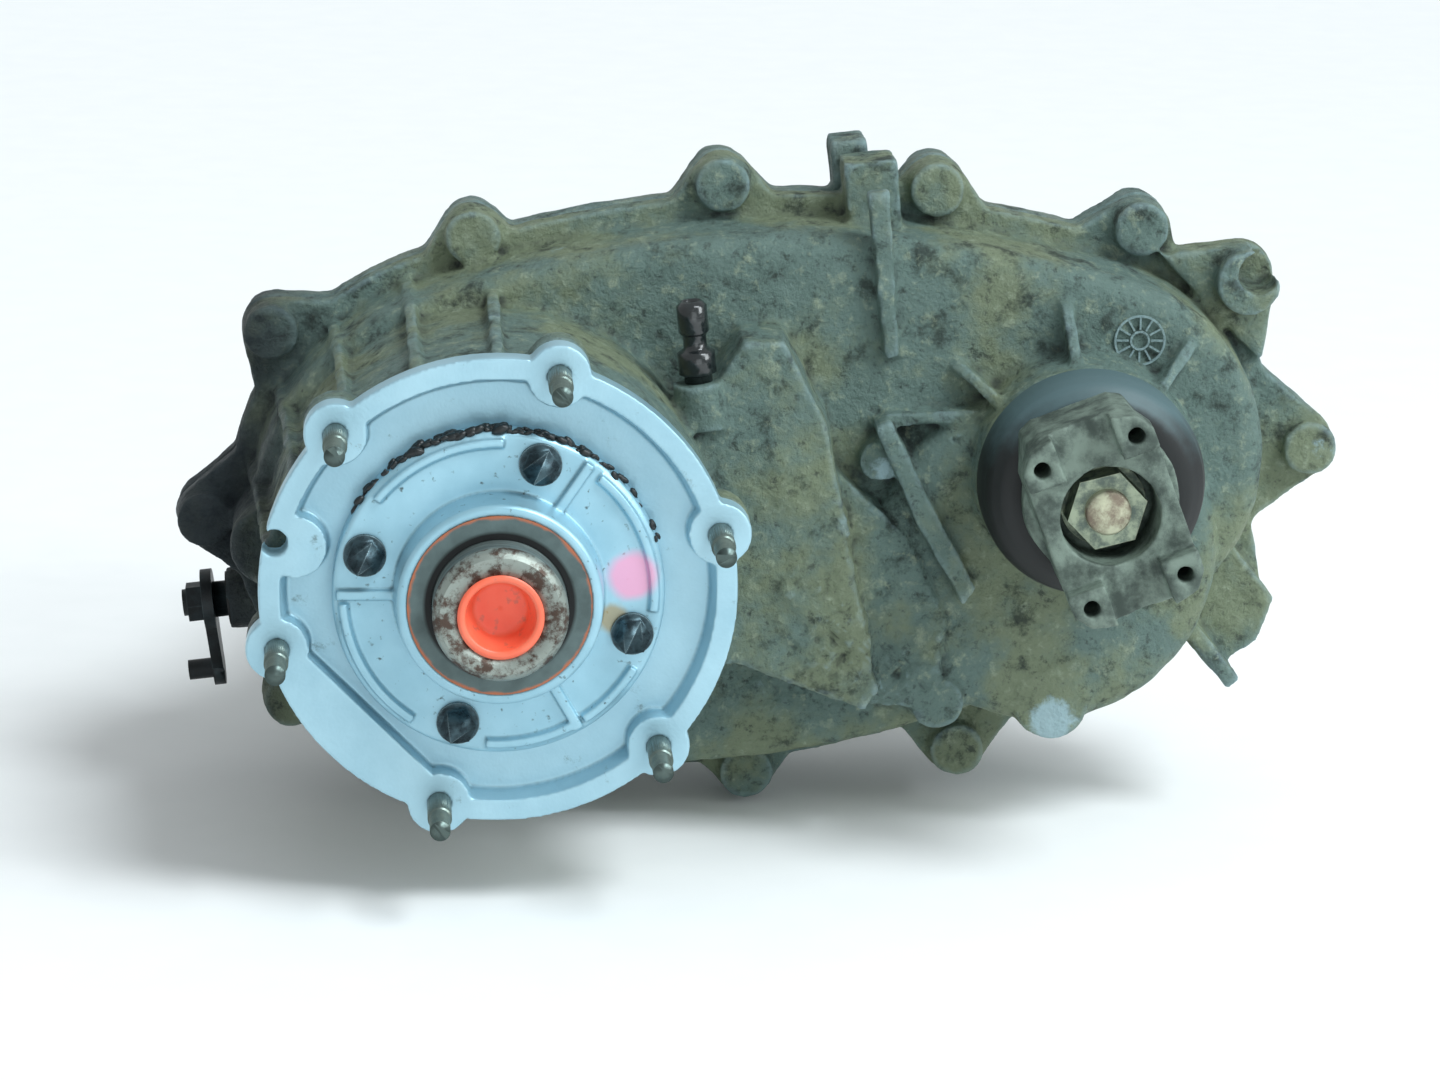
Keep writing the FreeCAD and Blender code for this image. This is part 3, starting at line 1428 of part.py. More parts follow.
# The yoke: four strap pads round the two cup seats, on an oblong body with a round barrel.
yoke = turned("output_yoke", [
    (s.output_thread_radius, s.yoke_floor),
    (s.yoke_barrel + 9, s.yoke_floor),
    (s.yoke_barrel + 9, s.yoke_floor + 8),
    (s.yoke_barrel, s.yoke_floor + 15),
    (s.yoke_barrel, output_bearing_front),
    (s.output_shaft_radius, output_bearing_front),
    (s.output_shaft_radius, s.yoke_floor + 6),
    (s.output_thread_radius, s.yoke_floor + 6),
], u=s.centre_distance, spin=s.yoke_turn)
half_bolts = s.yoke_bolt_span / 2
half_cups = s.yoke_cup_span / 2
yoke_side = half_bolts + 8
yoke_end = half_cups + 11
face_step = s.yoke_front + 11
block(yoke, [
    (yoke_side, 14 - half_cups), (yoke_side, half_cups - 8), (yoke_side - 6, yoke_end - 3),
    (yoke_side - 12, yoke_end), (12 - yoke_side, yoke_end), (6 - yoke_side, yoke_end - 3),
    (-yoke_side, half_cups - 8), (-yoke_side, 8 - half_cups), (6 - yoke_side, 3 - yoke_end),
    (12 - yoke_side, -yoke_end), (yoke_side - 12, -yoke_end), (yoke_side - 6, 3 - yoke_end),
    (yoke_side, 8 - half_cups),
], face_step, s.yoke_floor + 6 - face_step)
cup_edge = s.cup_radius
sketch = outline_sketch(yoke, s.yoke_front)
for side in (1, -1):
    for end in (1, -1):
        corners = [
            (side * cup_edge, end * (half_cups - 8)),
            (side * yoke_side, end * (half_cups - 8)),
            (side * yoke_side, end * (half_cups + 1)),
            (side * (yoke_side - 5), end * (yoke_end - 3)),
            (side * cup_edge, end * yoke_end),
        ]
        draw_polygon(sketch, corners if side * end > 0 else corners[::-1])
pad(yoke, sketch, face_step - s.yoke_front + 2, True)
stand_turn(yoke, [(0, -60), (s.cup_radius, -60), (s.cup_radius, 60), (0, 60)], 0,
           s.yoke_front, "Groove")
nut_room = s.output_thread_radius * 2 + 2
turn(yoke, [
    (0, 0), (nut_room, 0), (nut_room, s.yoke_floor), (s.output_thread_radius, s.yoke_floor),
    (s.output_thread_radius, s.yoke_floor + 6), (s.output_shaft_radius, s.yoke_floor + 6),
    (s.output_shaft_radius, s.yoke_floor + 7), (0, s.yoke_floor + 7),
], "Groove")
strap_places = [(side * half_bolts, end * half_cups) for side in (1, -1) for end in (1, -1)]
hole(yoke, strap_places, s.strap_hole_radius, s.yoke_front - 1, 26)

turned("yoke_washer", [
    (s.output_thread_radius, s.yoke_floor - 3), (nut_room - 3, s.yoke_floor - 3),
    (nut_room - 3, s.yoke_floor), (s.output_thread_radius, s.yoke_floor),
], u=s.centre_distance)
nut = new_body("yoke_nut", u=s.centre_distance, turn=8)
nut_height = s.yoke_floor - 3 - s.yoke_nut_front
block(nut, hexagon(size(0), size(0), s.output_thread_radius * 3.6), s.yoke_nut_front, nut_height)
hole(nut, [(0, 0)], s.output_thread_radius, s.yoke_nut_front - 1, nut_height + 2)

sheet_metal = size(1.5)
slinger_rear = s.nose_front - 2
turned("dust_slinger", [
    (s.yoke_barrel, s.slinger_front + 4),
    (s.yoke_barrel + 4, s.slinger_front),
    (s.slinger_radius - 9, s.slinger_front + 1),
    (s.slinger_radius - 2, s.slinger_front + 7),
    (s.slinger_radius, s.slinger_front + 15),
    (s.slinger_radius, slinger_rear),
    (s.slinger_radius - sheet_metal, slinger_rear),
    (s.slinger_radius - sheet_metal, s.slinger_front + 15),
    (s.slinger_radius - 2 - sheet_metal, s.slinger_front + 8),
    (s.slinger_radius - 10, s.slinger_front + 1 + sheet_metal),
    (s.yoke_barrel + 4.5, s.slinger_front + sheet_metal),
    (s.yoke_barrel + sheet_metal, s.slinger_front + 5),
    (s.yoke_barrel + sheet_metal, s.slinger_front + 14),
    (s.yoke_barrel, s.slinger_front + 14),
], u=s.centre_distance)


# ---------------------------------------------------------------- oil pump, tone ring, extension

pump_bore = s.rear_bearing_radius - 8
turned("oil_pump_housing", [
    (s.sprocket_journal + s.running_gap, inner_rear_face - 4),
    (pump_radius, inner_rear_face - 4),
    (pump_radius, pump_rear),
    (pump_bore, pump_rear),
    (pump_bore, inner_rear_face),
    (s.sprocket_journal + s.running_gap, inner_rear_face),
])
pump_rotor = ring("oil_pump_rotor", s.rear_journal, s.rear_journal + 6,
                  inner_rear_face + s.running_gap, pump_rear - s.running_gap)
vane = block(pump_rotor, box_corners(s.rear_journal + 5, -2.5, pump_bore - s.running_gap, 2.5),
             inner_rear_face + s.running_gap, pump_rear - inner_rear_face - 2 * s.running_gap)
repeat_round(pump_rotor, vane, 6)

tone_front = s.rear_boss_end + 6
tone_ring = ring("speed_tone_ring", s.rear_journal, s.rear_journal + 10, tone_front, tone_front + 9)
tone_tooth = block(tone_ring, [
    (s.rear_journal + 9, -2.6), (s.rear_journal + 13, -2), (s.rear_journal + 13, 2),
    (s.rear_journal + 9, 2.6),
], tone_front, 9)
repeat_round(tone_ring, tone_tooth, 16)

extension_bore = s.rear_bearing_radius + 1
bush_radius = s.slip_bore + 3.5
bush_length = size(26)
bush_rear = s.extension_end - tail_seal_width - 2
extension = turned("extension_housing", [
    (s.rear_bearing_radius - 3, s.rear_boss_end),
    (s.extension_flange, s.rear_boss_end),
    (s.extension_flange, extension_face),
    (extension_bore + 5.5, extension_face),
    (extension_bore + 5, extension_face + 8),
    (s.extension_nose + 2, bush_rear - bush_length),
    (s.extension_nose, s.extension_end),
    (tail_seal_radius, s.extension_end),
    (tail_seal_radius, bush_rear + 2),
    (bush_radius, bush_rear + 2),
    (bush_radius, bush_rear - bush_length),
    (extension_bore - 8, bush_rear - bush_length - 8),
    (extension_bore, extension_face + 10),
    (extension_bore, s.rear_boss_end + 4),
    (s.rear_bearing_radius - 3, s.rear_boss_end + 4),
])
fin = web(extension, [
    (extension_bore + 2, extension_face - 1),
    (s.extension_flange - 2, extension_face - 1),
    (s.extension_nose + 5, bush_rear - bush_length),
    (s.extension_nose - 3, bush_rear - bush_length),
], 0, 0, 30, s.rib_thickness)
repeat_round(extension, fin, 6)
sensor_depth = tone_front + 8.5
sensor_seat = s.extension_flange + 2
stand_turn(extension, [(0, 38), (11, 38), (11, sensor_seat), (0, sensor_seat)], 0, sensor_depth)
turn(extension, [
    (0, s.rear_boss_end - 1), (s.rear_bearing_radius - 3, s.rear_boss_end - 1),
    (s.rear_bearing_radius - 3, s.rear_boss_end + 4), (extension_bore, s.rear_boss_end + 4),
    (extension_bore, extension_face + 10), (0, extension_face + 10),
], "Groove")
stand_turn(extension, [(0, 30), (7, 30), (7, sensor_seat + 1), (0, sensor_seat + 1)], 0,
           sensor_depth, "Groove")
hole(extension, extension_bolt_places, s.case_bolt_radius, s.rear_boss_end - 1,
     s.flange_thickness + 2)
ring("slip_yoke_bush", s.slip_bore, bush_radius, bush_rear - bush_length, bush_rear)

sensor = new_body("speed_sensor")
stand_turn(sensor, [
    (0, s.rear_journal + 14), (5, s.rear_journal + 14), (7, s.rear_journal + 17),
    (7, sensor_seat), (12, sensor_seat), (12, sensor_seat + 4), (8, sensor_seat + 6),
    (8, sensor_seat + 20), (6, sensor_seat + 22), (0, sensor_seat + 22),
], 0, sensor_depth)


# ---------------------------------------------------------------- shift mechanism

disc(new_body("shift_rail"), rail_u, rail_v, s.rail_radius, s.mating_depth - rail_end,
     rail_end + s.rear_depth + 2)


def shift_fork(label, groove_radius, groove_face, barrel_front, barrel_length, arm_low, arm_high):
    """A horseshoe round a sleeve's groove, an arm out to the rail, and a barrel on the rail."""
    body = new_body(label)
    fork_front = groove_face + s.running_gap
    inside = groove_radius + s.running_gap
    disc(body, 0, 0, inside + 11, fork_front, s.fork_thickness)
    hole(body, [(0, 0)], inside, fork_front - 1, s.fork_thickness + 2)
    sketch = outline_sketch(body, fork_front - 1)
    draw_polygon(sketch, box_corners(2, -100, 100, 100))
    pocket(body, sketch, s.fork_thickness + 2, True)
    block(body, box_corners(-(s.rail_circle - 6), arm_low, -(inside + 6), arm_high), fork_front,
          s.fork_thickness)
    block(body, box_corners(-(s.rail_circle - 6), arm_low, -(sleeve_outside + 9), arm_high),
          fork_front, barrel_front + barrel_length - fork_front)
    disc(body, rail_u, rail_v, s.rail_radius + 3.5, barrel_front, barrel_length)
    hole(body, [(rail_u, rail_v)], s.rail_radius + s.fit_gap, fork_front - 1,
         barrel_front + barrel_length - fork_front + 2)
    return body


range_barrel_front = inner_front_face + 5
range_fork = shift_fork("range_fork", s.range_clutch_radius - 5, groove_front,
                        range_barrel_front, size(14), 4, 12)
finger_low, finger_high = -6, 3
finger_u = sector_u - 4
block(range_fork, box_corners(finger_u - 6, finger_low, finger_u, finger_high + 3),
      range_barrel_front, s.selector_depth + 5 - range_barrel_front)
sector_pin_v = -s.selector_drop + s.sector_arm
pin_radius = size(3)
cross_turn(range_fork, [
    (finger_u - 1, 0), (finger_u + 8, 0), (finger_u + 8, pin_radius), (finger_u - 1, pin_radius),
], s.selector_depth, sector_pin_v)

mode_barrel_front = mode_groove_front + s.fork_thickness + 1
mode_fork = shift_fork("mode_fork", sleeve_outside, mode_groove_front, mode_barrel_front,
                       size(11), 7, 15)

# The selector: a shaft across the case with the sector plate on it, its lever and nut.
plate = size(5)
selector = new_body("selector_shaft")
lever_u = boss_left - 6
cross_turn(selector, [
    (sector_u - plate / 2 - 1, 0), (sector_u + plate / 2 + 2, 0),
    (sector_u + plate / 2 + 2, s.selector_radius),
    (sector_u - plate / 2 - 1, s.selector_radius),
], s.selector_depth, -s.selector_drop)
cross_turn(selector, [
    (lever_u - 14, 0), (sector_u - plate / 2, 0), (sector_u - plate / 2, s.selector_radius),
    (lever_u, s.selector_radius), (lever_u, s.selector_radius - 2),
    (lever_u - 14, s.selector_radius - 2),
], s.selector_depth, -s.selector_drop)


def side_sketch(body, u):
    """A sketch square to u. Its x runs rearwards and its y up."""
    sketch = new_sketch(body, "YZ_Plane", u)
    return sketch


def side_pad(body, sketch, length):
    feature = new_feature(body, "Pad")
    feature.Profile = sketch
    feature.Length = size(length).value
    bind(feature, "Length", length)
    return feature


def side_pocket(body, sketch, length):
    feature = new_feature(body, "Pocket")
    feature.Profile = sketch
    feature.Length = size(length).value
    bind(feature, "Length", length)
    feature.Reversed = True
    return feature


axis_y, axis_v = s.selector_depth, -s.selector_drop
sector = new_body("sector_plate")
arm_top = axis_v + s.sector_arm + 9
detent_edge = size(16.5)
sketch = side_sketch(sector, sector_u - plate / 2)
draw_circle(sketch, axis_y, axis_v, detent_edge)
side_pad(sector, sketch, plate)
sketch = side_sketch(sector, sector_u - plate / 2)
draw_polygon(sketch, [
    (axis_y - detent_edge + 1, axis_v), (axis_y + detent_edge - 1, axis_v),
    (axis_y + 10, arm_top), (axis_y - 10, arm_top),
])
side_pad(sector, sketch, plate)
slot_half = pin_radius + 0.8
sketch = side_sketch(sector, sector_u - plate)
draw_polygon(sketch, [
    (axis_y - slot_half, arm_top - 16), (axis_y - slot_half, arm_top + 1),
    (axis_y + slot_half, arm_top + 1), (axis_y + slot_half, arm_top - 16),
])
side_pocket(sector, sketch, plate * 2)
sketch = side_sketch(sector, sector_u - plate)
draw_circle(sketch, axis_y, axis_v, s.selector_radius)
side_pocket(sector, sketch, plate * 2)

lever = new_body("selector_lever")
sketch = side_sketch(lever, lever_u - plate)
draw_circle(sketch, axis_y, axis_v, 14)
side_pad(lever, sketch, plate)
sketch = side_sketch(lever, lever_u - plate)
draw_polygon(sketch, [
    (axis_y - 11, axis_v - 6), (axis_y + 11, axis_v - 6), (axis_y + 16, axis_v - 34),
    (axis_y + 2, axis_v - 34),
])
side_pad(lever, sketch, plate)
sketch = side_sketch(lever, lever_u - plate)
draw_circle(sketch, axis_y + 9, axis_v - 34, 8)
side_pad(lever, sketch, plate)
sketch = side_sketch(lever, lever_u - plate - 11)
draw_circle(sketch, axis_y + 9, axis_v - 34, 4.5)
side_pad(lever, sketch, 12)
sketch = side_sketch(lever, lever_u - plate - 1)
draw_circle(sketch, axis_y, axis_v, s.selector_radius - 2)
side_pocket(lever, sketch, plate + 2)

lever_nut = new_body("selector_nut")
sketch = side_sketch(lever_nut, lever_u - plate - 7)
draw_polygon(sketch, [
    (axis_y + 9 * cosine(60 * k), axis_v + 9 * sine(60 * k)) for k in range(6)
])
side_pad(lever_nut, sketch, 7)
sketch = side_sketch(lever_nut, lever_u - plate - 8)
draw_circle(sketch, axis_y, axis_v, s.selector_radius - 2)
side_pocket(lever_nut, sketch, 9)

selector_seal = new_body("selector_seal")
cross_turn(selector_seal, [
    (boss_left, s.selector_radius + s.fit_gap), (boss_left, s.selector_radius + 4),
    (boss_left + 8, s.selector_radius + 4), (boss_left + 8, s.selector_radius + s.fit_gap),
], axis_y, axis_v)

detent = new_body("detent_plug")
stand_turn(detent, [
    (0, axis_v - detent_edge - s.running_gap), (3, axis_v - detent_edge - 1.4),
    (detent_radius, axis_v - detent_edge - 4), (detent_radius, -88),
    (8, -88), (8, -94), (0, -94),
], sector_u, axis_y)

pickup = new_body("oil_pickup")
pickup_depth = sprocket_rear + 4
block(pickup, [
    (4, -pump_radius), (12, -pump_radius), (96, -90), (104, -90), (104, -98), (92, -98),
], pickup_depth, 4)
block(pickup, box_corners(86, -104, 118, -94), pickup_depth - 30, 34)

magnet = disc(new_body("sump_magnet"), 200, -70, 12, inner_rear_face - 4, 4)


# ---------------------------------------------------------------- check and write

doc.recompute()
for thing in doc.Objects:
    if {"Invalid", "Error"} & set(thing.State):
        raise RuntimeError(f"{thing.Label} did not build")
os.makedirs("parts", exist_ok=True)
for node in nodes:
    if node.Shape.isNull() or not node.Shape.isValid():
        raise RuntimeError(f"{node.Label} is not a valid shape")
    node.Shape.exportStep(f"parts/{node.Label}.step")
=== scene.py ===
import json
import math
import random

import bmesh
import bpy
from mathutils import Matrix, Vector, noise


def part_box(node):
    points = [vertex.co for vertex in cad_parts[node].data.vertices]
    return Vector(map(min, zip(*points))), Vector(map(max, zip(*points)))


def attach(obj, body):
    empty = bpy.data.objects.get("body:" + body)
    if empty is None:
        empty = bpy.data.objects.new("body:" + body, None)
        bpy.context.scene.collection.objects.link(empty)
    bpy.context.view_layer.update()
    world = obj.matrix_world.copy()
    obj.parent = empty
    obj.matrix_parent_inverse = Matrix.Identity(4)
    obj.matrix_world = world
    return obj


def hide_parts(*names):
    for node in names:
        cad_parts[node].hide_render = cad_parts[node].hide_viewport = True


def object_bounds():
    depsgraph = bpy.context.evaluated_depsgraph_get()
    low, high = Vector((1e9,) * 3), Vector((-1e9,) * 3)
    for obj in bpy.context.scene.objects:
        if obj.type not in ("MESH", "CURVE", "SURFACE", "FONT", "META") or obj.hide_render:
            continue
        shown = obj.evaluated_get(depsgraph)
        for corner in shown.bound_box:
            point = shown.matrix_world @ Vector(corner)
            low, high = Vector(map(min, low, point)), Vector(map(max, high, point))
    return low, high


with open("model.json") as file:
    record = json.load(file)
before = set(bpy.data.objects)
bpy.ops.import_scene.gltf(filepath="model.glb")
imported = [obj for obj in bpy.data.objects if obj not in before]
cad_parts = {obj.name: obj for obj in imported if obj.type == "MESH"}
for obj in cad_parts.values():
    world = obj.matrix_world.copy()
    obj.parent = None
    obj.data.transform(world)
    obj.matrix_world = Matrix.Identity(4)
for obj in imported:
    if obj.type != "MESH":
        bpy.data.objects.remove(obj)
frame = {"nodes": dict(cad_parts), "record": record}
cad_low, cad_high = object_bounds()
millimetre = 0.001


# ---------------------------------------------------------------- stand, light and camera
# The case stands on a pale floor of matt paint and is seen from a little above, with a long lens.
# A broad lamp lights it from the upper right, and two weaker soft ones from the right and below.

def new_object(name, data):
    thing = bpy.data.objects.new(name, data)
    bpy.context.scene.collection.objects.link(thing)
    return thing


def linear(colour):
    """The shader colour of an sRGB hex value."""
    channels = [int(colour[i:i + 2], 16) / 255 for i in (1, 3, 5)]
    return [c / 12.92 if c <= 0.04045 else ((c + 0.055) / 1.055) ** 2.4 for c in channels] + [1]


def add(material, kind, sockets=None, **settings):
    """Adds a shader node. Each of its sockets gets a value or another node's output."""
    shader = material.node_tree.nodes.new("ShaderNode" + kind)
    for name, value in settings.items():
        setattr(shader, name, value)
    for name, value in (sockets or {}).items():
        if isinstance(value, bpy.types.NodeSocket):
            material.node_tree.links.new(value, shader.inputs[name])
        else:
            shader.inputs[name].default_value = value
    return shader


def new_material(name):
    """An empty material, with its surface's Object coordinates."""
    material = bpy.data.materials.new(name)
    material.use_nodes = True
    material.node_tree.nodes.clear()
    return material, add(material, "TexCoord").outputs["Object"]


def finish_with(material, sockets):
    surface = add(material, "BsdfPrincipled", sockets)
    add(material, "OutputMaterial", {"Surface": surface.outputs["BSDF"]})
    return material


floor_reach = 12
floor_mesh = bpy.data.meshes.new("studio_floor")
floor_form = bmesh.new()
bmesh.ops.create_grid(floor_form, x_segments=1, y_segments=1, size=floor_reach)
bmesh.ops.translate(floor_form, verts=floor_form.verts, vec=(0, 0, cad_low[2]))
floor_form.to_mesh(floor_mesh)
floor_form.free()
studio_floor = new_object("studio_floor", floor_mesh)
# Rolled emulsion: almost white, with the faint unevenness of the roller and no gloss.
floor_paint, floor_place = new_material("matt_white_floor_paint")
floor_grain = add(floor_paint, "TexNoise", {
    "Vector": floor_place, "Scale": 1 / (33.33 * millimetre), "Detail": 3,
})
floor_tone = add(floor_paint, "MixRGB", {
    "Fac": floor_grain.outputs["Fac"], "Color1": linear("#f4f5f5"), "Color2": linear("#fafafa"),
})
finish_with(floor_paint, {"Base Color": floor_tone.outputs["Color"], "Roughness": 0.9})
floor_mesh.materials.append(floor_paint)

studio = bpy.data.worlds.new("studio")
studio.use_nodes = True
studio.node_tree.nodes["Background"].inputs["Color"].default_value = linear("#eef4f6")
studio.node_tree.nodes["Background"].inputs["Strength"].default_value = 0.6
bpy.context.scene.world = studio

look_at = Vector((0.0901, 0, 0.0220))
camera_distance = 1.9374
turn, rise, lean = math.radians(-4.088), math.radians(14.973), math.radians(-0.926)
away = Vector((
    math.sin(turn) * math.cos(rise), -math.cos(turn) * math.cos(rise), math.sin(rise)
))
sideways = Vector((math.cos(turn), math.sin(turn), 0))
upwards = away.cross(sideways)
turned_side = sideways * math.cos(lean) - upwards * math.sin(lean)
turned_up = sideways * math.sin(lean) + upwards * math.cos(lean)
eye = look_at + away * camera_distance
camera = new_object("camera", bpy.data.cameras.new("camera"))
camera.data.lens = 118.7
camera.data.sensor_width = 36
camera.matrix_world = Matrix((
    (turned_side.x, turned_up.x, away.x, eye.x),
    (turned_side.y, turned_up.y, away.y, eye.y),
    (turned_side.z, turned_up.z, away.z, eye.z),
    (0, 0, 0, 1),
))
bpy.context.scene.camera = camera


def add_light(name, kind, stand, strength, tint, **shape):
    light = bpy.data.lights.new(name, kind)
    light.energy = strength
    light.color = linear(tint)[:3]
    for setting, value in shape.items():
        setattr(light, setting, value)
    lamp = new_object(name, light)
    lamp.location = stand
    lamp.rotation_euler = (look_at - Vector(stand)).to_track_quat("-Z", "Y").to_euler()


add_light("even_overhead", "SUN", (1.0, -0.8, 1.7), 2.0, "#f2fbff", angle=math.radians(22))
add_light("lamp_above_right", "AREA", (1.5, -0.6, 0.9), 12, "#f4fcff", size=0.7)
add_light("low_front_fill", "AREA", (0.5, -2.2, 0.3), 8, "#eef8fb", size=1.4)


# ---------------------------------------------------------------- front half of the case
# Sand-cast aluminium, never painted. Years of road dirt bound in gear oil lie on it, thick beside
# the input flange and thin above. The edges of a sand casting are soft, so the half is remeshed
# from its construction solid, all but the front ring, which was cleaned and is a piece by itself.

# Places are given from the two shafts. u runs from the input axis, which is the frame's own Y
# axis, to the front output axis, which is read from its seal. v is square to it.
seal_low, seal_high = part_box("output_seal")
output_axis = (Vector(seal_low) + Vector(seal_high)) / 2
clock = math.atan2(output_axis.z, output_axis.x)


def place(u, y, v):
    """A point in the case's own frame, in millimetres, as a point of the scene."""
    x = u * math.cos(clock) - v * math.sin(clock)
    z = u * math.sin(clock) + v * math.cos(clock)
    return Vector((x, y, z)) * millimetre


def in_case(point):
    """A point of the scene in the case's own frame, in millimetres."""
    x, y, z = (c / millimetre for c in point)
    return (
        x * math.cos(clock) + z * math.sin(clock),
        y,
        z * math.cos(clock) - x * math.sin(clock),
    )


def merged_form(name):
    """The mesh of a construction node with its loose triangles joined."""
    form = bmesh.new()
    form.from_mesh(frame["nodes"][name].data)
    bmesh.ops.remove_doubles(form, verts=form.verts, dist=0.00002)
    return form


def cut_across(form, depth, keep_behind):
    """Cuts a closed form square to the shafts, and closes the cut."""
    geometry = form.verts[:] + form.edges[:] + form.faces[:]
    bmesh.ops.bisect_plane(
        form, geom=geometry, dist=0.000001, plane_co=(0, depth, 0), plane_no=(0, 1, 0),
        clear_inner=keep_behind, clear_outer=not keep_behind,
    )
    rim = [edge for edge in form.edges if edge.is_boundary]
    bmesh.ops.triangle_fill(
        form, use_beauty=True, edges=rim, normal=(0, -1 if keep_behind else 1, 0),
    )


def piece_from(form, name):
    """Makes a form an object of its own."""
    mesh = bpy.data.meshes.new(name)
    form.to_mesh(mesh)
    form.free()
    return new_object(name, mesh)


def smooth_faces(mesh, sharp_angle=None):
    for face in mesh.polygons:
        face.use_smooth = True
    if sharp_angle is not None:
        mesh.set_sharp_from_angle(angle=math.radians(sharp_angle))


def applied(piece):
    """Replaces a piece's mesh by what its modifiers make of it."""
    depsgraph = bpy.context.evaluated_depsgraph_get()
    mesh = bpy.data.meshes.new_from_object(piece.evaluated_get(depsgraph))
    piece.modifiers.clear()
    piece.data = mesh
    return mesh


def remesh(piece, voxel):
    """Gives a piece even, small faces and soft edges. The voxel is in millimetres."""
    soften = piece.modifiers.new("voxels", "REMESH")
    soften.mode = "VOXEL"
    soften.voxel_size = voxel * millimetre
    relax = piece.modifiers.new("relax", "SMOOTH")
    relax.factor = 0.5
    relax.iterations = 2
    return applied(piece)


def thin_out(piece, most):
    """Collapses the smallest triangles until the piece has at most so many."""
    triangles = sum(len(face.vertices) - 2 for face in piece.data.polygons)
    if triangles > most:
        fewer = piece.modifiers.new("fewer", "DECIMATE")
        fewer.ratio = most / triangles
        applied(piece)


# In millimetres: how far back the front half reaches, the size of a lump of dirt, and where dirt
# is caked on the front, as u, v, reach and thickness.
parting_depth = 152
lump_size = 9
caked_dirt = [
    (128, -28, 24, 2.2), (140, -60, 26, 3.4), (166, -84, 24, 3.0), (122, 12, 20, 1.6),
    (150, -12, 22, 1.8), (196, -66, 20, 1.6), (112, -88, 20, 2.0), (214, -18, 16, 1.2),
]


def dirt_at(point):
    """How thick the dirt lies at a point of the casting, in millimetres."""
    u, y, v = in_case(point)
    if y > parting_depth:
        return 0.0
    cake = 0.0
    for at_u, at_v, reach, thickness in caked_dirt:
        near = max(0.0, 1 - math.hypot(u - at_u, v - at_v) / reach / 1.4)
        cake = max(cake, thickness * near * near * (3 - 2 * near))
    lumps = noise.fractal(Vector((u, y, v)) / lump_size, 0.8, 2.1, 4)
    return cake * (0.55 + 0.9 * lumps)


sand_wave = 14    # millimetres between the swells that the sand mould leaves


def roughen(mesh, grain, with_dirt):
    """Moves a casting's surface as sand and dirt leave it, but never out of its solid's box."""
    normals = [normal.vector.copy() for normal in mesh.vertex_normals]
    for vertex, normal in zip(mesh.vertices, normals):
        at = Vector(vertex.co) / millimetre
        height = grain * noise.fractal(at / sand_wave, 0.9, 2.0, 4)
        if with_dirt:
            height += dirt_at(vertex.co)
        vertex.co += normal * height * millimetre
        vertex.co = [min(max(c, low), high) for c, low, high in zip(vertex.co, cad_low, cad_high)]
    mesh.update()


# Where something rubbed the casting bare: u, depth, v and reach, in millimetres. Ragged by so
# much, each spot fades out over a rim beyond its reach.
bare_spots = [
    (178, 105, -99, 7), (232, 95, -112, 11), (169, 95, 9, 6), (365, 141, -14, 7),
    (86, 118, 133, 5), (286, 118, 101, 6), (40, 128, 108, 5),
]
spot_raggedness = 16 * millimetre
spot_rim_inside, spot_rim_outside = 4 * millimetre, 9 * millimetre

dry_crumb_colour = "#9caa93"
hollow_painted_shade_colour = "#1e2524"
# Painted shade: the colour that the left side of the casting is darkened towards.
left_side_painted_shade_colour = "#101c24"


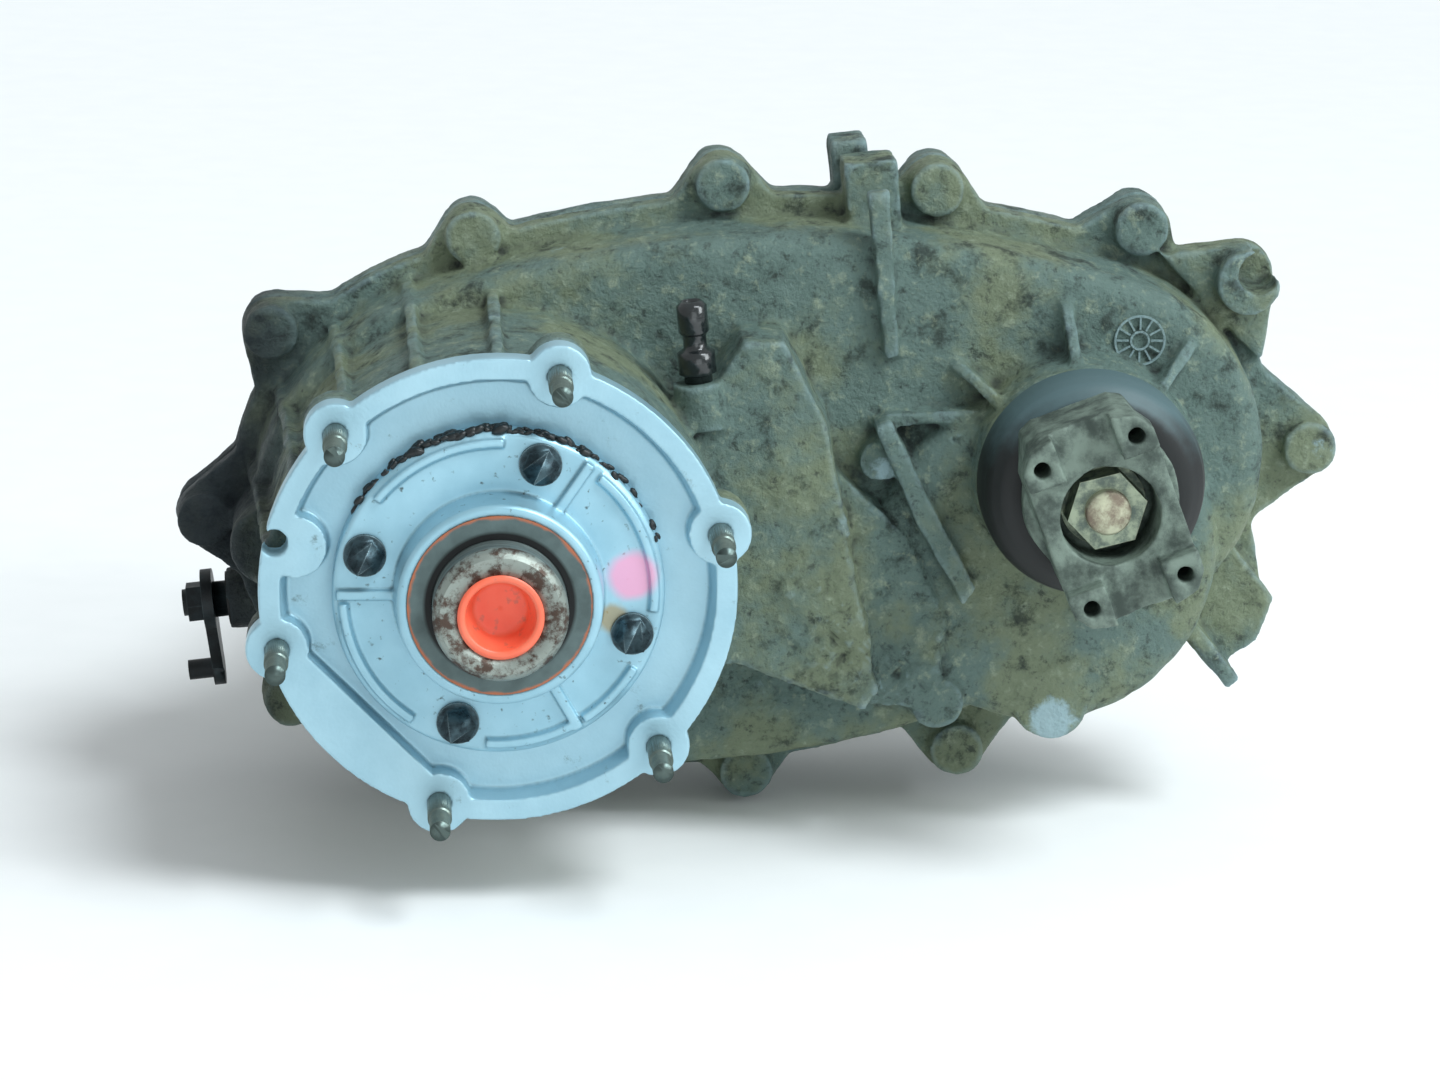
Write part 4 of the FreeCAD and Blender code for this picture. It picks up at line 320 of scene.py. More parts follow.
def greasy_casting(name, dirt_colour, film_colour, metal_colour, pit_colour):
    """Bare sand-cast aluminium under a film of oil, with dirt that stuck to it.

    The eye sees a dull grey-green: clouds of film and dirt, dark pits, pale dry crumbs, painted
    shade in the hollows and edges rubbed to the metal. Painted shade darkens the left side to
    almost black.
    """
    material, at = new_material(name)
    cloud = add(material, "TexNoise", {
        "Vector": at, "Scale": 1 / (62.5 * millimetre), "Detail": 8, "Roughness": 0.62,
    })
    patches = add(material, "TexNoise", {
        "Vector": at, "Scale": 1 / (18.18 * millimetre), "Detail": 9, "Roughness": 0.7,
    })
    lumps = add(material, "TexNoise", {
        "Vector": at, "Scale": 1 / (6.667 * millimetre), "Detail": 7, "Roughness": 0.72,
        "Distortion": 0.15,
    })
    grit = add(material, "TexVoronoi", {
        "Vector": at, "Scale": 1 / (2.381 * millimetre), "Randomness": 1.0,
    })
    filmed = add(material, "MapRange", {
        "Value": cloud.outputs["Fac"], "From Min": 0.42, "From Max": 0.58,
    }, interpolation_type="SMOOTHSTEP")
    base = add(material, "MixRGB", {
        "Fac": filmed.outputs["Result"], "Color1": linear(film_colour),
        "Color2": linear(dirt_colour),
    })
    pitted = add(material, "MapRange", {
        "Value": patches.outputs["Fac"], "From Min": 0.52, "From Max": 0.68, "To Max": 0.85,
    }, interpolation_type="SMOOTHSTEP")
    darker = add(material, "MixRGB", {
        "Fac": pitted.outputs["Result"], "Color1": base.outputs["Color"],
        "Color2": linear(pit_colour),
    })
    crumbs = add(material, "MapRange", {
        "Value": lumps.outputs["Fac"], "From Min": 0.55, "From Max": 0.68, "To Max": 0.75,
    })
    dusty = add(material, "MixRGB", {
        "Fac": crumbs.outputs["Result"], "Color1": darker.outputs["Color"],
        "Color2": linear(dry_crumb_colour),
    })
    crevices = add(material, "MapRange", {
        "Value": lumps.outputs["Fac"], "From Min": 0.44, "From Max": 0.33, "To Max": 0.8,
    })
    cracked = add(material, "MixRGB", {
        "Fac": crevices.outputs["Result"], "Color1": dusty.outputs["Color"],
        "Color2": linear(pit_colour),
    })
    # Painted shade: hollows of the mesh, found from its pointiness, are darkened towards black.
    bend = add(material, "NewGeometry").outputs["Pointiness"]
    inside = add(material, "MapRange", {
        "Value": bend, "From Min": 0.485, "From Max": 0.44, "To Max": 0.85,
    })
    sunk = add(material, "MixRGB", {
        "Fac": inside.outputs["Result"], "Color1": cracked.outputs["Color"],
        "Color2": linear(hollow_painted_shade_colour),
    })
    edge = add(material, "MapRange", {"Value": bend, "From Min": 0.52, "From Max": 0.58})
    rubbed = add(material, "Math", {0: edge.outputs["Result"], 1: patches.outputs["Fac"]},
                 operation="MULTIPLY")
    bright = add(material, "MixRGB", {
        "Fac": rubbed.outputs["Value"], "Color1": sunk.outputs["Color"],
        "Color2": linear(metal_colour),
    })
    # Painted shade: towards the left the casting is darkened almost to black, with a ragged edge.
    side = add(material, "SeparateXYZ", {"Vector": at}).outputs["X"]
    straggling = add(material, "Math", {
        0: cloud.outputs["Fac"], 1: 60 * millimetre, 2: side,
    }, operation="MULTIPLY_ADD")
    left_side_painted_shade = add(material, "MapRange", {
        "Value": straggling.outputs["Value"],
        "From Min": -35 * millimetre, "From Max": -85 * millimetre,
        "To Max": 0.95,
    }, interpolation_type="SMOOTHSTEP")
    wet = add(material, "MixRGB", {
        "Fac": left_side_painted_shade.outputs["Result"], "Color1": bright.outputs["Color"],
        "Color2": linear(left_side_painted_shade_colour),
    })
    for u, depth, v, reach in bare_spots:
        from_spot = add(material, "VectorMath", {0: at, 1: place(u, depth, v)},
                        operation="DISTANCE")
        ragged = add(material, "Math", {
            0: lumps.outputs["Fac"], 1: spot_raggedness, 2: from_spot.outputs["Value"],
        }, operation="MULTIPLY_ADD")
        scraped = add(material, "MapRange", {
            "Value": ragged.outputs["Value"],
            "From Min": reach * millimetre + spot_rim_outside,
            "From Max": reach * millimetre + spot_rim_inside,
        }, interpolation_type="SMOOTHSTEP")
        wet = add(material, "MixRGB", {
            "Fac": scraped.outputs["Result"], "Color1": wet.outputs["Color"],
            "Color2": linear(metal_colour),
        })
    shine = add(material, "MapRange", {
        "Value": patches.outputs["Fac"], "From Min": 0.35, "From Max": 0.65,
        "To Min": 0.36, "To Max": 0.88,
    })
    fine = add(material, "Bump", {
        "Height": grit.outputs["Distance"], "Strength": 0.5, "Distance": 0.7 * millimetre,
    })
    lumpy = add(material, "Bump", {
        "Height": lumps.outputs["Fac"], "Strength": 0.9, "Distance": 3.5 * millimetre,
        "Normal": fine.outputs["Normal"],
    })
    coarse = add(material, "Bump", {
        "Height": patches.outputs["Fac"], "Strength": 0.8, "Distance": 5 * millimetre,
        "Normal": lumpy.outputs["Normal"],
    })
    return finish_with(material, {
        "Base Color": wet.outputs["Color"], "Metallic": 0.12,
        "Roughness": shine.outputs["Result"], "Normal": coarse.outputs["Normal"],
    })


rubbed_metal = "#a9c6cc"
front_metal = greasy_casting("oily_sand_cast_aluminium", "#7d8a70", "#688079", rubbed_metal,
                             "#2e3833")

flange_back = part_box("input_retainer")[1][1] + 1.5 * millimetre
most_front_faces = 185000
form = merged_form("front_case")
cut_across(form, flange_back, True)
front_half = piece_from(form, "front_half_casting")
roughen(remesh(front_half, 1.6), 0.6, True)
thin_out(front_half, most_front_faces)
smooth_faces(front_half.data)
front_half.data.materials.append(front_metal)
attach(front_half, "case")
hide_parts("front_case")

# ---------------------------------------------------------------- date wheel of the casting
# Two thin rings and twelve spokes that an insert in the foundry's pattern leaves on the front
# face, above the front output. It is one with the casting and as dirty.

# Sizes in millimetres; each ring is given by its inner radius.
wheel_middle = place(284, 0, 50.8)
wheel_face = 104.6 * millimetre
ring_radii = (10.2, 3.4)
ring_wall, ring_height = 0.9, 0.9
spoke_count = 12
spoke_length, spoke_height, spoke_width = 5.2, 0.9, 0.8
spoke_middle, spoke_sink = 7.4, 0.35
date_wheel = bmesh.new()
for radius in ring_radii:
    corners = [
        (radius, 0), (radius + ring_wall, 0), (radius + ring_wall, -ring_height),
        (radius, -ring_height),
    ]
    section = [date_wheel.verts.new((x * millimetre, y * millimetre, 0)) for x, y in corners]
    profile = [date_wheel.faces.new(section)]
    bmesh.ops.spin(
        date_wheel, geom=profile + profile[0].edges[:] + section, angle=2 * math.pi, steps=48,
        axis=(0, 1, 0), cent=(0, 0, 0), use_merge=True,
    )
    date_wheel.faces.remove(profile[0])
for spoke in range(spoke_count):
    made = bmesh.ops.create_cube(date_wheel, size=millimetre)["verts"]
    bmesh.ops.scale(date_wheel, verts=made, vec=(spoke_length, spoke_height, spoke_width))
    bmesh.ops.translate(date_wheel, verts=made,
                        vec=(spoke_middle * millimetre, -spoke_sink * millimetre, 0))
    bmesh.ops.rotate(date_wheel, verts=made,
                     matrix=Matrix.Rotation(2 * math.pi * spoke / spoke_count, 3, "Y"))
bmesh.ops.recalc_face_normals(date_wheel, faces=date_wheel.faces)
bmesh.ops.translate(date_wheel, verts=date_wheel.verts,
                    vec=(wheel_middle.x, wheel_face, wheel_middle.z))
wheel_mark = piece_from(date_wheel, "casting_date_wheel")
smooth_faces(wheel_mark.data, 30)
wheel_mark.data.materials.append(front_metal)
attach(wheel_mark, "case")


# ---------------------------------------------------------------- rear half of the case
# The same sand-cast aluminium, bolted to the front half behind its parting line. Road spray has
# washed it a little greyer, and no dirt is caked on it.

most_rear_faces = 150000
rear_metal = greasy_casting("road_worn_cast_aluminium", "#78867a", "#68807b", rubbed_metal,
                            "#363f3d")
rear_half = piece_from(merged_form("rear_case"), "rear_half_casting")
roughen(remesh(rear_half, 1.8), 0.5, False)
thin_out(rear_half, most_rear_faces)
smooth_faces(rear_half.data)
rear_half.data.materials.append(rear_metal)
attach(rear_half, "case")
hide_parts("rear_case")


# ---------------------------------------------------------------- input flange face
# The front ring of the front half. It was cleaned for its gasket, so its metal is bare and
# pale: a milled land outside, the as-cast dish inside, and painted shade in the corners.

most_flange_faces = 190000
form = merged_form("front_case")
cut_across(form, flange_back, False)
flange_face = piece_from(form, "input_flange_face")
remesh(flange_face, 0.9)
thin_out(flange_face, most_flange_faces)
smooth_faces(flange_face.data)

# Solvent-washed casting: pale blue-grey and half bright, clouded where the wash dried, with a
# few grey stains, and painted shade darkening the corners.
clean_metal, at = new_material("washed_cast_aluminium")
cloud = add(clean_metal, "TexNoise", {
    "Vector": at, "Scale": 1 / (45.45 * millimetre), "Detail": 6, "Roughness": 0.6,
})
grain = add(clean_metal, "TexNoise", {
    "Vector": at, "Scale": 1 / (1.4286 * millimetre), "Detail": 3,
})
stains = add(clean_metal, "TexNoise", {
    "Vector": at, "Scale": 1 / (13.333 * millimetre), "Detail": 10, "Roughness": 0.72,
})
metal = add(clean_metal, "MixRGB", {
    "Fac": cloud.outputs["Fac"], "Color1": linear("#7fa9ba"), "Color2": linear("#bfe2ee"),
})
stained = add(clean_metal, "MapRange", {
    "Value": stains.outputs["Fac"], "From Min": 0.60, "From Max": 0.74,
}, interpolation_type="SMOOTHSTEP")
grubby = add(clean_metal, "MixRGB", {
    "Fac": stained.outputs["Result"], "Color1": metal.outputs["Color"],
    "Color2": linear("#5e6f6e"),
})


# Finds the hollows that are darkened as painted shade.
def in_a_corner(material):
    """How deep a point lies in a hollow of a finely meshed piece, from 0 to 1."""
    bend = add(material, "NewGeometry").outputs["Pointiness"]
    return add(material, "MapRange", {
        "Value": bend, "From Min": 0.485, "From Max": 0.42,
    }).outputs["Result"]


# Painted shade: the corners are darkened to a grey-blue.
painted_corner_shade = add(clean_metal, "Math", {0: in_a_corner(clean_metal), 1: 0.75}, operation="MULTIPLY")
cornered = add(clean_metal, "MixRGB", {
    "Fac": painted_corner_shade.outputs["Value"], "Color1": grubby.outputs["Color"],
    "Color2": linear("#4a5a5c"),
})
cast_skin = add(clean_metal, "Bump", {
    "Height": grain.outputs["Fac"], "Strength": 0.25, "Distance": 0.3 * millimetre,
})
wavy = add(clean_metal, "Bump", {
    "Height": cloud.outputs["Fac"], "Strength": 0.35, "Distance": 2 * millimetre,
    "Normal": cast_skin.outputs["Normal"],
})
shine = add(clean_metal, "MapRange", {
    "Value": cloud.outputs["Fac"], "From Min": 0.3, "From Max": 0.7,
    "To Min": 0.3, "To Max": 0.5,
})
finish_with(clean_metal, {
    "Base Color": cornered.outputs["Color"], "Metallic": 0.55,
    "Roughness": shine.outputs["Result"], "Normal": wavy.outputs["Normal"],
})
flange_face.data.materials.append(clean_metal)
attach(flange_face, "case")


# ---------------------------------------------------------------- front bearing retainer
# A die-cast aluminium plate over the input bearing, with its seal's collar and stiffening ribs.
# Its edges are cast round, so it is remeshed finely. Pink marking paint and a brown oil stain
# are on its right side.

def whole_piece(name, node, body, sharp_angle=28):
    """A construction node as one smooth-shaded piece that stands for it."""
    piece = piece_from(merged_form(node), name)
    smooth_faces(piece.data, sharp_angle)
    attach(piece, body)
    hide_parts(node)
    return piece


slot_of = {part["node"]: part["material_slot"] for part in frame["record"]["subparts"]}
most_retainer_faces = 170000
retainer = whole_piece("bearing_retainer", "input_retainer", "case")
remesh(retainer, 0.7)
thin_out(retainer, most_retainer_faces)
smooth_faces(retainer.data)

# Die-cast skin, smoother than the sand casting round it: the same pale blue-grey, a little
# darker, with fine dark specks and painted shade in the hollows along its ribs.
retainer_metal, at = new_material("die_cast_aluminium_with_paint_mark")
cloud = add(retainer_metal, "TexNoise", {
    "Vector": at, "Scale": 1 / (33.33 * millimetre), "Detail": 7, "Roughness": 0.6,
})
specks = add(retainer_metal, "TexNoise", {
    "Vector": at, "Scale": 1 / (3.125 * millimetre), "Detail": 4,
})
metal = add(retainer_metal, "MixRGB", {
    "Fac": cloud.outputs["Fac"], "Color1": linear("#7ba8b9"), "Color2": linear("#b4dceb"),
})
dirty = add(retainer_metal, "MapRange", {
    "Value": specks.outputs["Fac"], "From Min": 0.66, "From Max": 0.76,
})
speckled = add(retainer_metal, "MixRGB", {
    "Fac": dirty.outputs["Result"], "Color1": metal.outputs["Color"],
    "Color2": linear("#526366"),
})
# Painted shade: the hollows along the ribs are darkened.
painted_corner_shade = add(retainer_metal, "Math", {0: in_a_corner(retainer_metal), 1: 0.8},
            operation="MULTIPLY")
shaded = add(retainer_metal, "MixRGB", {
    "Fac": painted_corner_shade.outputs["Value"], "Color1": speckled.outputs["Color"],
    "Color2": linear("#46555a"),
})


def dab(material, under, centre, reach, colour, strength, raggedness):
    """A dab of another colour round a point, with a ragged edge."""
    skin = add(material, "TexCoord").outputs["Object"]
    wobble = add(material, "TexNoise", {
        "Vector": skin, "Scale": 1 / (11.11 * millimetre), "Detail": 4,
    })
    from_centre = add(material, "VectorMath", {0: skin, 1: centre}, operation="DISTANCE")
    ragged = add(material, "Math", {
        0: wobble.outputs["Fac"], 1: raggedness, 2: from_centre.outputs["Value"],
    }, operation="MULTIPLY_ADD")
    amount = add(material, "MapRange", {
        "Value": ragged.outputs["Value"], "From Min": reach + raggedness / 2,
        "From Max": reach * 0.55 + raggedness / 2, "To Max": strength,
    }, interpolation_type="SMOOTHSTEP")
    return add(material, "MixRGB", {
        "Fac": amount.outputs["Result"], "Color1": under, "Color2": linear(colour),
    }).outputs["Color"]


collar_height = 18 * millimetre
face_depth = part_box("input_retainer")[0][1] + collar_height
pink_paint = dab(retainer_metal, shaded.outputs["Color"], (0.0545, face_depth, 0.0075),
                 12.5 * millimetre, "#e9a6c6", 0.9, 4 * millimetre)
oil_stain = dab(retainer_metal, pink_paint, (0.0475, face_depth, -0.0115),
                8.5 * millimetre, "#a98d4c", 0.7, 7 * millimetre)
cast_skin = add(retainer_metal, "Bump", {
    "Height": specks.outputs["Fac"], "Strength": 0.2, "Distance": 0.3 * millimetre,
})
finish_with(retainer_metal, {
    "Base Color": oil_stain, "Metallic": 0.5, "Roughness": 0.4,
    "Normal": cast_skin.outputs["Normal"],
})
retainer.data.materials.append(retainer_metal)


# ---------------------------------------------------------------- bolts and plugs
# Flanged hexagon bolts of phosphated steel: four through the bearing retainer, a row round the
# parting line and those of the rear extension, with the oil plugs and the detent's screw.

def near_edges(material, radius):
    """How near a point lies to an edge or a corner, from 0 to 1."""
    rounded = add(material, "Bevel", {"Radius": radius * millimetre}, samples=6)
    turned = add(material, "VectorMath", {
        0: rounded.outputs["Normal"], 1: add(material, "NewGeometry").outputs["Normal"],
    }, operation="DOT_PRODUCT")
    return add(material, "MapRange", {
        "Value": turned.outputs["Value"], "From Min": 0.995, "From Max": 0.80,
    }).outputs["Result"]


def plain_metal(name, light, dark, metallic, roughness, patch, grain, relief, edge_colour=None):
    """A finish that varies in two colours, and in a third where its edges are worn.

    patch, grain and relief are the sizes in millimetres of its clouds, its grain and the grain's
    height. Very fine grain is drawn as coarse as it needs to show.
    """
    material, at = new_material(name)
    patches = add(material, "TexNoise", {
        "Vector": at, "Scale": 1 / (patch * millimetre), "Detail": 7, "Roughness": 0.65,
    })
    grains = add(material, "TexNoise", {
        "Vector": at, "Scale": 1 / (grain * millimetre), "Detail": 3,
    })
    spread = add(material, "MapRange", {
        "Value": patches.outputs["Fac"], "From Min": 0.38, "From Max": 0.64,
    }, interpolation_type="SMOOTHSTEP")
    tone = add(material, "MixRGB", {
        "Fac": spread.outputs["Result"], "Color1": linear(light), "Color2": linear(dark),
    }).outputs["Color"]
    if edge_colour:
        worn = add(material, "Math", {0: near_edges(material, 0.8), 1: patches.outputs["Fac"]},
                   operation="MULTIPLY")
        tone = add(material, "MixRGB", {
            "Fac": worn.outputs["Value"], "Color1": tone, "Color2": linear(edge_colour),
        }).outputs["Color"]
    shine = add(material, "MapRange", {
        "Value": patches.outputs["Fac"], "From Min": 0.3, "From Max": 0.7,
        "To Min": max(0.05, roughness - 0.1), "To Max": min(1, roughness + 0.12),
    })
    rounded = add(material, "Bevel", {"Radius": 0.5 * millimetre}, samples=4)
    bump = add(material, "Bump", {
        "Height": grains.outputs["Fac"], "Strength": 0.5, "Distance": relief * millimetre,
        "Normal": rounded.outputs["Normal"],
    })
    return finish_with(material, {
        "Base Color": tone, "Metallic": metallic, "Roughness": shine.outputs["Result"],
        "Normal": bump.outputs["Normal"],
    })


# Manganese phosphate, oiled: blue-black and half matt, with paler steel at the worn corners.
phosphate = plain_metal("black_phosphated_steel", "#2a383e", "#41555c", 0.75, 0.32, 4, 0.5, 0.08,
                        "#9db4ba")
for name, node in (("retainer_bolt_set", "retainer_bolts"), ("case_bolt_set", "case_bolts"),
                   ("extension_bolt_set", "extension_bolts"),
                   ("oil_plugs", "fill_and_drain_plugs"), ("detent_screw", "detent_plug")):
    whole_piece(name, node, "case").data.materials.append(phosphate)


# ---------------------------------------------------------------- gasket sealant
# Black silicone squeezed out over the upper edge of the retainer when it was bolted down: a low
# bead with lumps and crumbs of it on both sides.

crumb_count = 170
bead_start, bead_end, bead_thickest = 18, 158, 100
thick_middle, thick_half_width, thick_share = 104, 16, 1.35
retainer_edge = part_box("input_retainer")[1][0]
sealant_form = bmesh.new()
chance = random.Random(7)
for _ in range(crumb_count):
    bearing = math.radians(chance.triangular(bead_start, bead_end, bead_thickest))
    size = chance.triangular(0.7, 2.3, 1.0) * millimetre
    if abs(math.degrees(bearing) - thick_middle) < thick_half_width:
        size *= thick_share
    reach = retainer_edge + chance.uniform(-0.3, 0.9) * millimetre
    made = bmesh.ops.create_icosphere(sealant_form, subdivisions=2, radius=size)
    bmesh.ops.scale(sealant_form, verts=made["verts"], vec=(1.5, 0.8, 0.8))
    bmesh.ops.rotate(sealant_form, verts=made["verts"],
                     matrix=Matrix.Rotation(-(bearing + chance.uniform(1.0, 2.1)), 3, "Y"))
    bmesh.ops.translate(sealant_form, verts=made["verts"], vec=(
        reach * math.cos(bearing), chance.uniform(-0.0012, 0.0042), reach * math.sin(bearing),
    ))
for vertex in sealant_form.verts:
    vertex.co += vertex.normal * 0.0003 * noise.noise(vertex.co * 900)
sealant = piece_from(sealant_form, "gasket_sealant_bead")
smooth_faces(sealant.data)

# Cured silicone rubber: black, with the soft gloss of its skin and dust in the wrinkles.
silicone, at = new_material("black_rtv_silicone")
skin = add(silicone, "TexNoise", {"Vector": at, "Scale": 1 / (2 * millimetre), "Detail": 4})
tone = add(silicone, "MixRGB", {
    "Fac": skin.outputs["Fac"], "Color1": linear("#050708"), "Color2": linear("#1d2527"),
})
lumpy = add(silicone, "Bump", {
    "Height": skin.outputs["Fac"], "Strength": 0.5, "Distance": 0.4 * millimetre,
})
finish_with(silicone, {
    "Base Color": tone.outputs["Color"], "Roughness": 0.38, "Normal": lumpy.outputs["Normal"],
})
sealant.data.materials.append(silicone)
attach(sealant, "case")


# ---------------------------------------------------------------- flange studs
# M10 studs in dull zinc, screwed into the ears of the front ring. Their rolled thread shows as
# fine rings at its true pitch.

studs = whole_piece("flange_stud_set", "input_studs", "case")

# Passivated zinc plate: metallic, grey with a yellowish bloom, and darkened in the thread's
# grooves as painted shade.
zinc, at = new_material("dull_zinc_plated_steel")
patches = add(zinc, "TexNoise", {
    "Vector": at, "Scale": 1 / (6.25 * millimetre), "Detail": 6, "Roughness": 0.7,
})
tone = add(zinc, "MixRGB", {
    "Fac": patches.outputs["Fac"], "Color1": linear("#4f6265"), "Color2": linear("#8d998d"),
})
pitch = 1.5 * millimetre
wave_length_at_scale_1 = math.pi / 10
thread = add(zinc, "TexWave", {"Vector": at, "Scale": wave_length_at_scale_1 / pitch},
             wave_type="BANDS", bands_direction="Y", wave_profile="TRI")
rolled = add(zinc, "Bump", {
    "Height": thread.outputs["Fac"], "Strength": 0.6, "Distance": 0.5 * millimetre,
})
# Painted shade: the grooves of the thread are darkened.
groove_painted_shade = add(zinc, "MapRange", {
    "Value": thread.outputs["Fac"], "From Min": 0.5, "From Max": 0.0, "To Max": 0.6,
})
threaded = add(zinc, "MixRGB", {
    "Fac": groove_painted_shade.outputs["Result"], "Color1": tone.outputs["Color"],
    "Color2": linear("#3b4a4a"),
})
finish_with(zinc, {
    "Base Color": threaded.outputs["Color"], "Metallic": 0.85, "Roughness": 0.36,
    "Normal": rolled.outputs["Normal"],
})
studs.data.materials.append(zinc)


# ---------------------------------------------------------------- input seal
# A steel cup pressed into the retainer's collar, faced with nitrile rubber, whose lip runs on the
# input shaft.

lip_radius = 30 * millimetre
lip_edge = 1.5 * millimetre
input_seal = whole_piece("input_shaft_seal", "input_seal", "case")

# Dusty grey rubber, black at the wiped lip, and an uneven thread of rust at the cup's bare edge.
seal_steel, at = new_material("nitrile_seal_in_a_rusting_cup")
across = add(seal_steel, "VectorMath", {0: at, 1: (1, 0, 1)}, operation="MULTIPLY")
from_axis = add(seal_steel, "VectorMath", {0: across.outputs["Vector"]}, operation="LENGTH")
ripple = add(seal_steel, "TexNoise", {
    "Vector": at, "Scale": 1 / (8.333 * millimetre), "Detail": 5,
})
seal_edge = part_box("input_seal")[1][0]
reach = add(seal_steel, "Math", {
    0: ripple.outputs["Fac"], 1: 4 * millimetre, 2: from_axis.outputs["Value"],
}, operation="MULTIPLY_ADD")
rust = add(seal_steel, "MapRange", {
    "Value": reach.outputs["Value"],
    "From Min": seal_edge + 0.8 * millimetre, "From Max": seal_edge + 1.8 * millimetre,
})
grey = add(seal_steel, "MixRGB", {
    "Fac": ripple.outputs["Fac"], "Color1": linear("#33403f"), "Color2": linear("#6d8080"),
})
tone = add(seal_steel, "MixRGB", {
    "Fac": rust.outputs["Result"], "Color1": grey.outputs["Color"], "Color2": linear("#b06a4c"),
})
lip = add(seal_steel, "MapRange", {
    "Value": from_axis.outputs["Value"],
    "From Min": lip_radius + lip_edge, "From Max": lip_radius,
})
tone = add(seal_steel, "MixRGB", {
    "Fac": lip.outputs["Result"], "Color1": tone.outputs["Color"], "Color2": linear("#0b0e0f"),
})
dust = add(seal_steel, "Bump", {
    "Height": ripple.outputs["Fac"], "Strength": 0.4, "Distance": 0.8 * millimetre,
})
finish_with(seal_steel, {
    "Base Color": tone.outputs["Color"], "Roughness": 0.55, "Metallic": 0.25,
    "Normal": dust.outputs["Normal"],
})
input_seal.data.materials.append(seal_steel)


# ---------------------------------------------------------------- input shaft
# A ground steel shaft with a splined bore for the gearbox's output. Only its end shows, which has
# stood open to the air.

shaft = whole_piece("input_shaft_end", "input_shaft", "input")

# Ground steel: grey with faint rings round its journal, and a pale end face that rust has pitted
# brown.
shaft_steel, at = new_material("rust_pitted_ground_steel")
patches = add(shaft_steel, "TexNoise", {
    "Vector": at, "Scale": 1 / (9.091 * millimetre), "Detail": 9, "Roughness": 0.7,
})
ring_crowding = 14
squeezed = add(shaft_steel, "VectorMath", {0: at, 1: (1, ring_crowding, 1)},
               operation="MULTIPLY")
rings = add(shaft_steel, "TexNoise", {
    "Vector": squeezed.outputs["Vector"], "Scale": 1 / (16.667 * millimetre), "Detail": 4,
})
steel = add(shaft_steel, "MixRGB", {
    "Fac": rings.outputs["Fac"], "Color1": linear("#2c3434"), "Color2": linear("#8b9a98"),
})
depth = add(shaft_steel, "SeparateXYZ", {"Vector": at}).outputs["Y"]
shaft_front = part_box("input_shaft")[0][1]
at_end = add(shaft_steel, "MapRange", {
    "Value": depth,
    "From Min": shaft_front + 6.5 * millimetre, "From Max": shaft_front + 4.5 * millimetre,
})
pits = add(shaft_steel, "MapRange", {
    "Value": patches.outputs["Fac"], "From Min": 0.44, "From Max": 0.58,
}, interpolation_type="SMOOTHSTEP")
end_face = add(shaft_steel, "MixRGB", {
    "Fac": pits.outputs["Result"], "Color1": linear("#949c95"), "Color2": linear("#4f4038"),
})
tone = add(shaft_steel, "MixRGB", {
    "Fac": at_end.outputs["Result"], "Color1": steel.outputs["Color"],
    "Color2": end_face.outputs["Color"],
})
pitted = add(shaft_steel, "Bump", {
    "Height": patches.outputs["Fac"], "Strength": 0.7, "Distance": 0.7 * millimetre,
})
finish_with(shaft_steel, {
    "Base Color": tone.outputs["Color"], "Metallic": 0.65, "Roughness": 0.42,
    "Normal": pitted.outputs["Normal"],
})
shaft.data.materials.append(shaft_steel)


# ---------------------------------------------------------------- cup in the splined bore
# A moulded polyethylene cup pushed into the input shaft, which keeps dirt out of its splines until
# the case is fitted.

cup = whole_piece("spline_bore_cup", "input_bore_plug", "input", 50)

# Moulded polyethylene: waxy orange-red, a little translucent, with a few brown finger smears.
polyethylene, at = new_material("moulded_orange_polyethylene")
haze = add(polyethylene, "TexNoise", {
    "Vector": at, "Scale": 1 / (11.11 * millimetre), "Detail": 6,
})
tone = add(polyethylene, "MixRGB", {
    "Fac": haze.outputs["Fac"], "Color1": linear("#ea5a3a"), "Color2": linear("#f98063"),
})
smear_grain = add(polyethylene, "TexNoise", {
    "Vector": at, "Scale": 1 / (4.167 * millimetre), "Detail": 8,
})
smears = add(polyethylene, "MapRange", {
    "Value": smear_grain.outputs["Fac"], "From Min": 0.60, "From Max": 0.72, "To Max": 0.6,
})
tone = add(polyethylene, "MixRGB", {
    "Fac": smears.outputs["Result"], "Color1": tone.outputs["Color"],
    "Color2": linear("#a9705f"),
})
finish_with(polyethylene, {
    "Base Color": tone.outputs["Color"], "Roughness": 0.38, "Subsurface Weight": 0.05,
    "Subsurface Radius": (3 * millimetre, 1 * millimetre, 0.6 * millimetre),
})
cup.data.materials.append(polyethylene)


# ---------------------------------------------------------------- front output yoke
# A drop-forged steel yoke for a strapped universal joint, with a nut and a washer on the end of
# the output shaft. Forged edges are round, so it is remeshed finely.

yoke = piece_from(merged_form("output_yoke"), "forged_output_yoke")
remesh(yoke, 0.9)
roughen(yoke.data, 0.35, False)
smooth_faces(yoke.data)
# Forging scale under old oil and dust: dull grey-green and grey-brown, paler at the edges.
forging = plain_metal("dusty_forged_steel", "#75857a", "#3f4b45", 0.2, 0.6, 16, 0.8, 0.35,
                      "#a9b3a0")
yoke.data.materials.append(forging)
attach(yoke, "front_output")
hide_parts("output_yoke")

yoke_nut = whole_piece("output_yoke_nut", "yoke_nut", "front_output")
yoke_washer = whole_piece("output_yoke_washer", "yoke_washer", "front_output")
# Weathered zinc plate: pale and yellowish, hardly bright.
pale_zinc = plain_metal("weathered_zinc_on_steel", "#a3ae96", "#66736a", 0.5, 0.45, 6, 0.6,
                        0.15, "#d2dab8")
for piece in (yoke_nut, yoke_washer):
    piece.data.materials.append(pale_zinc)

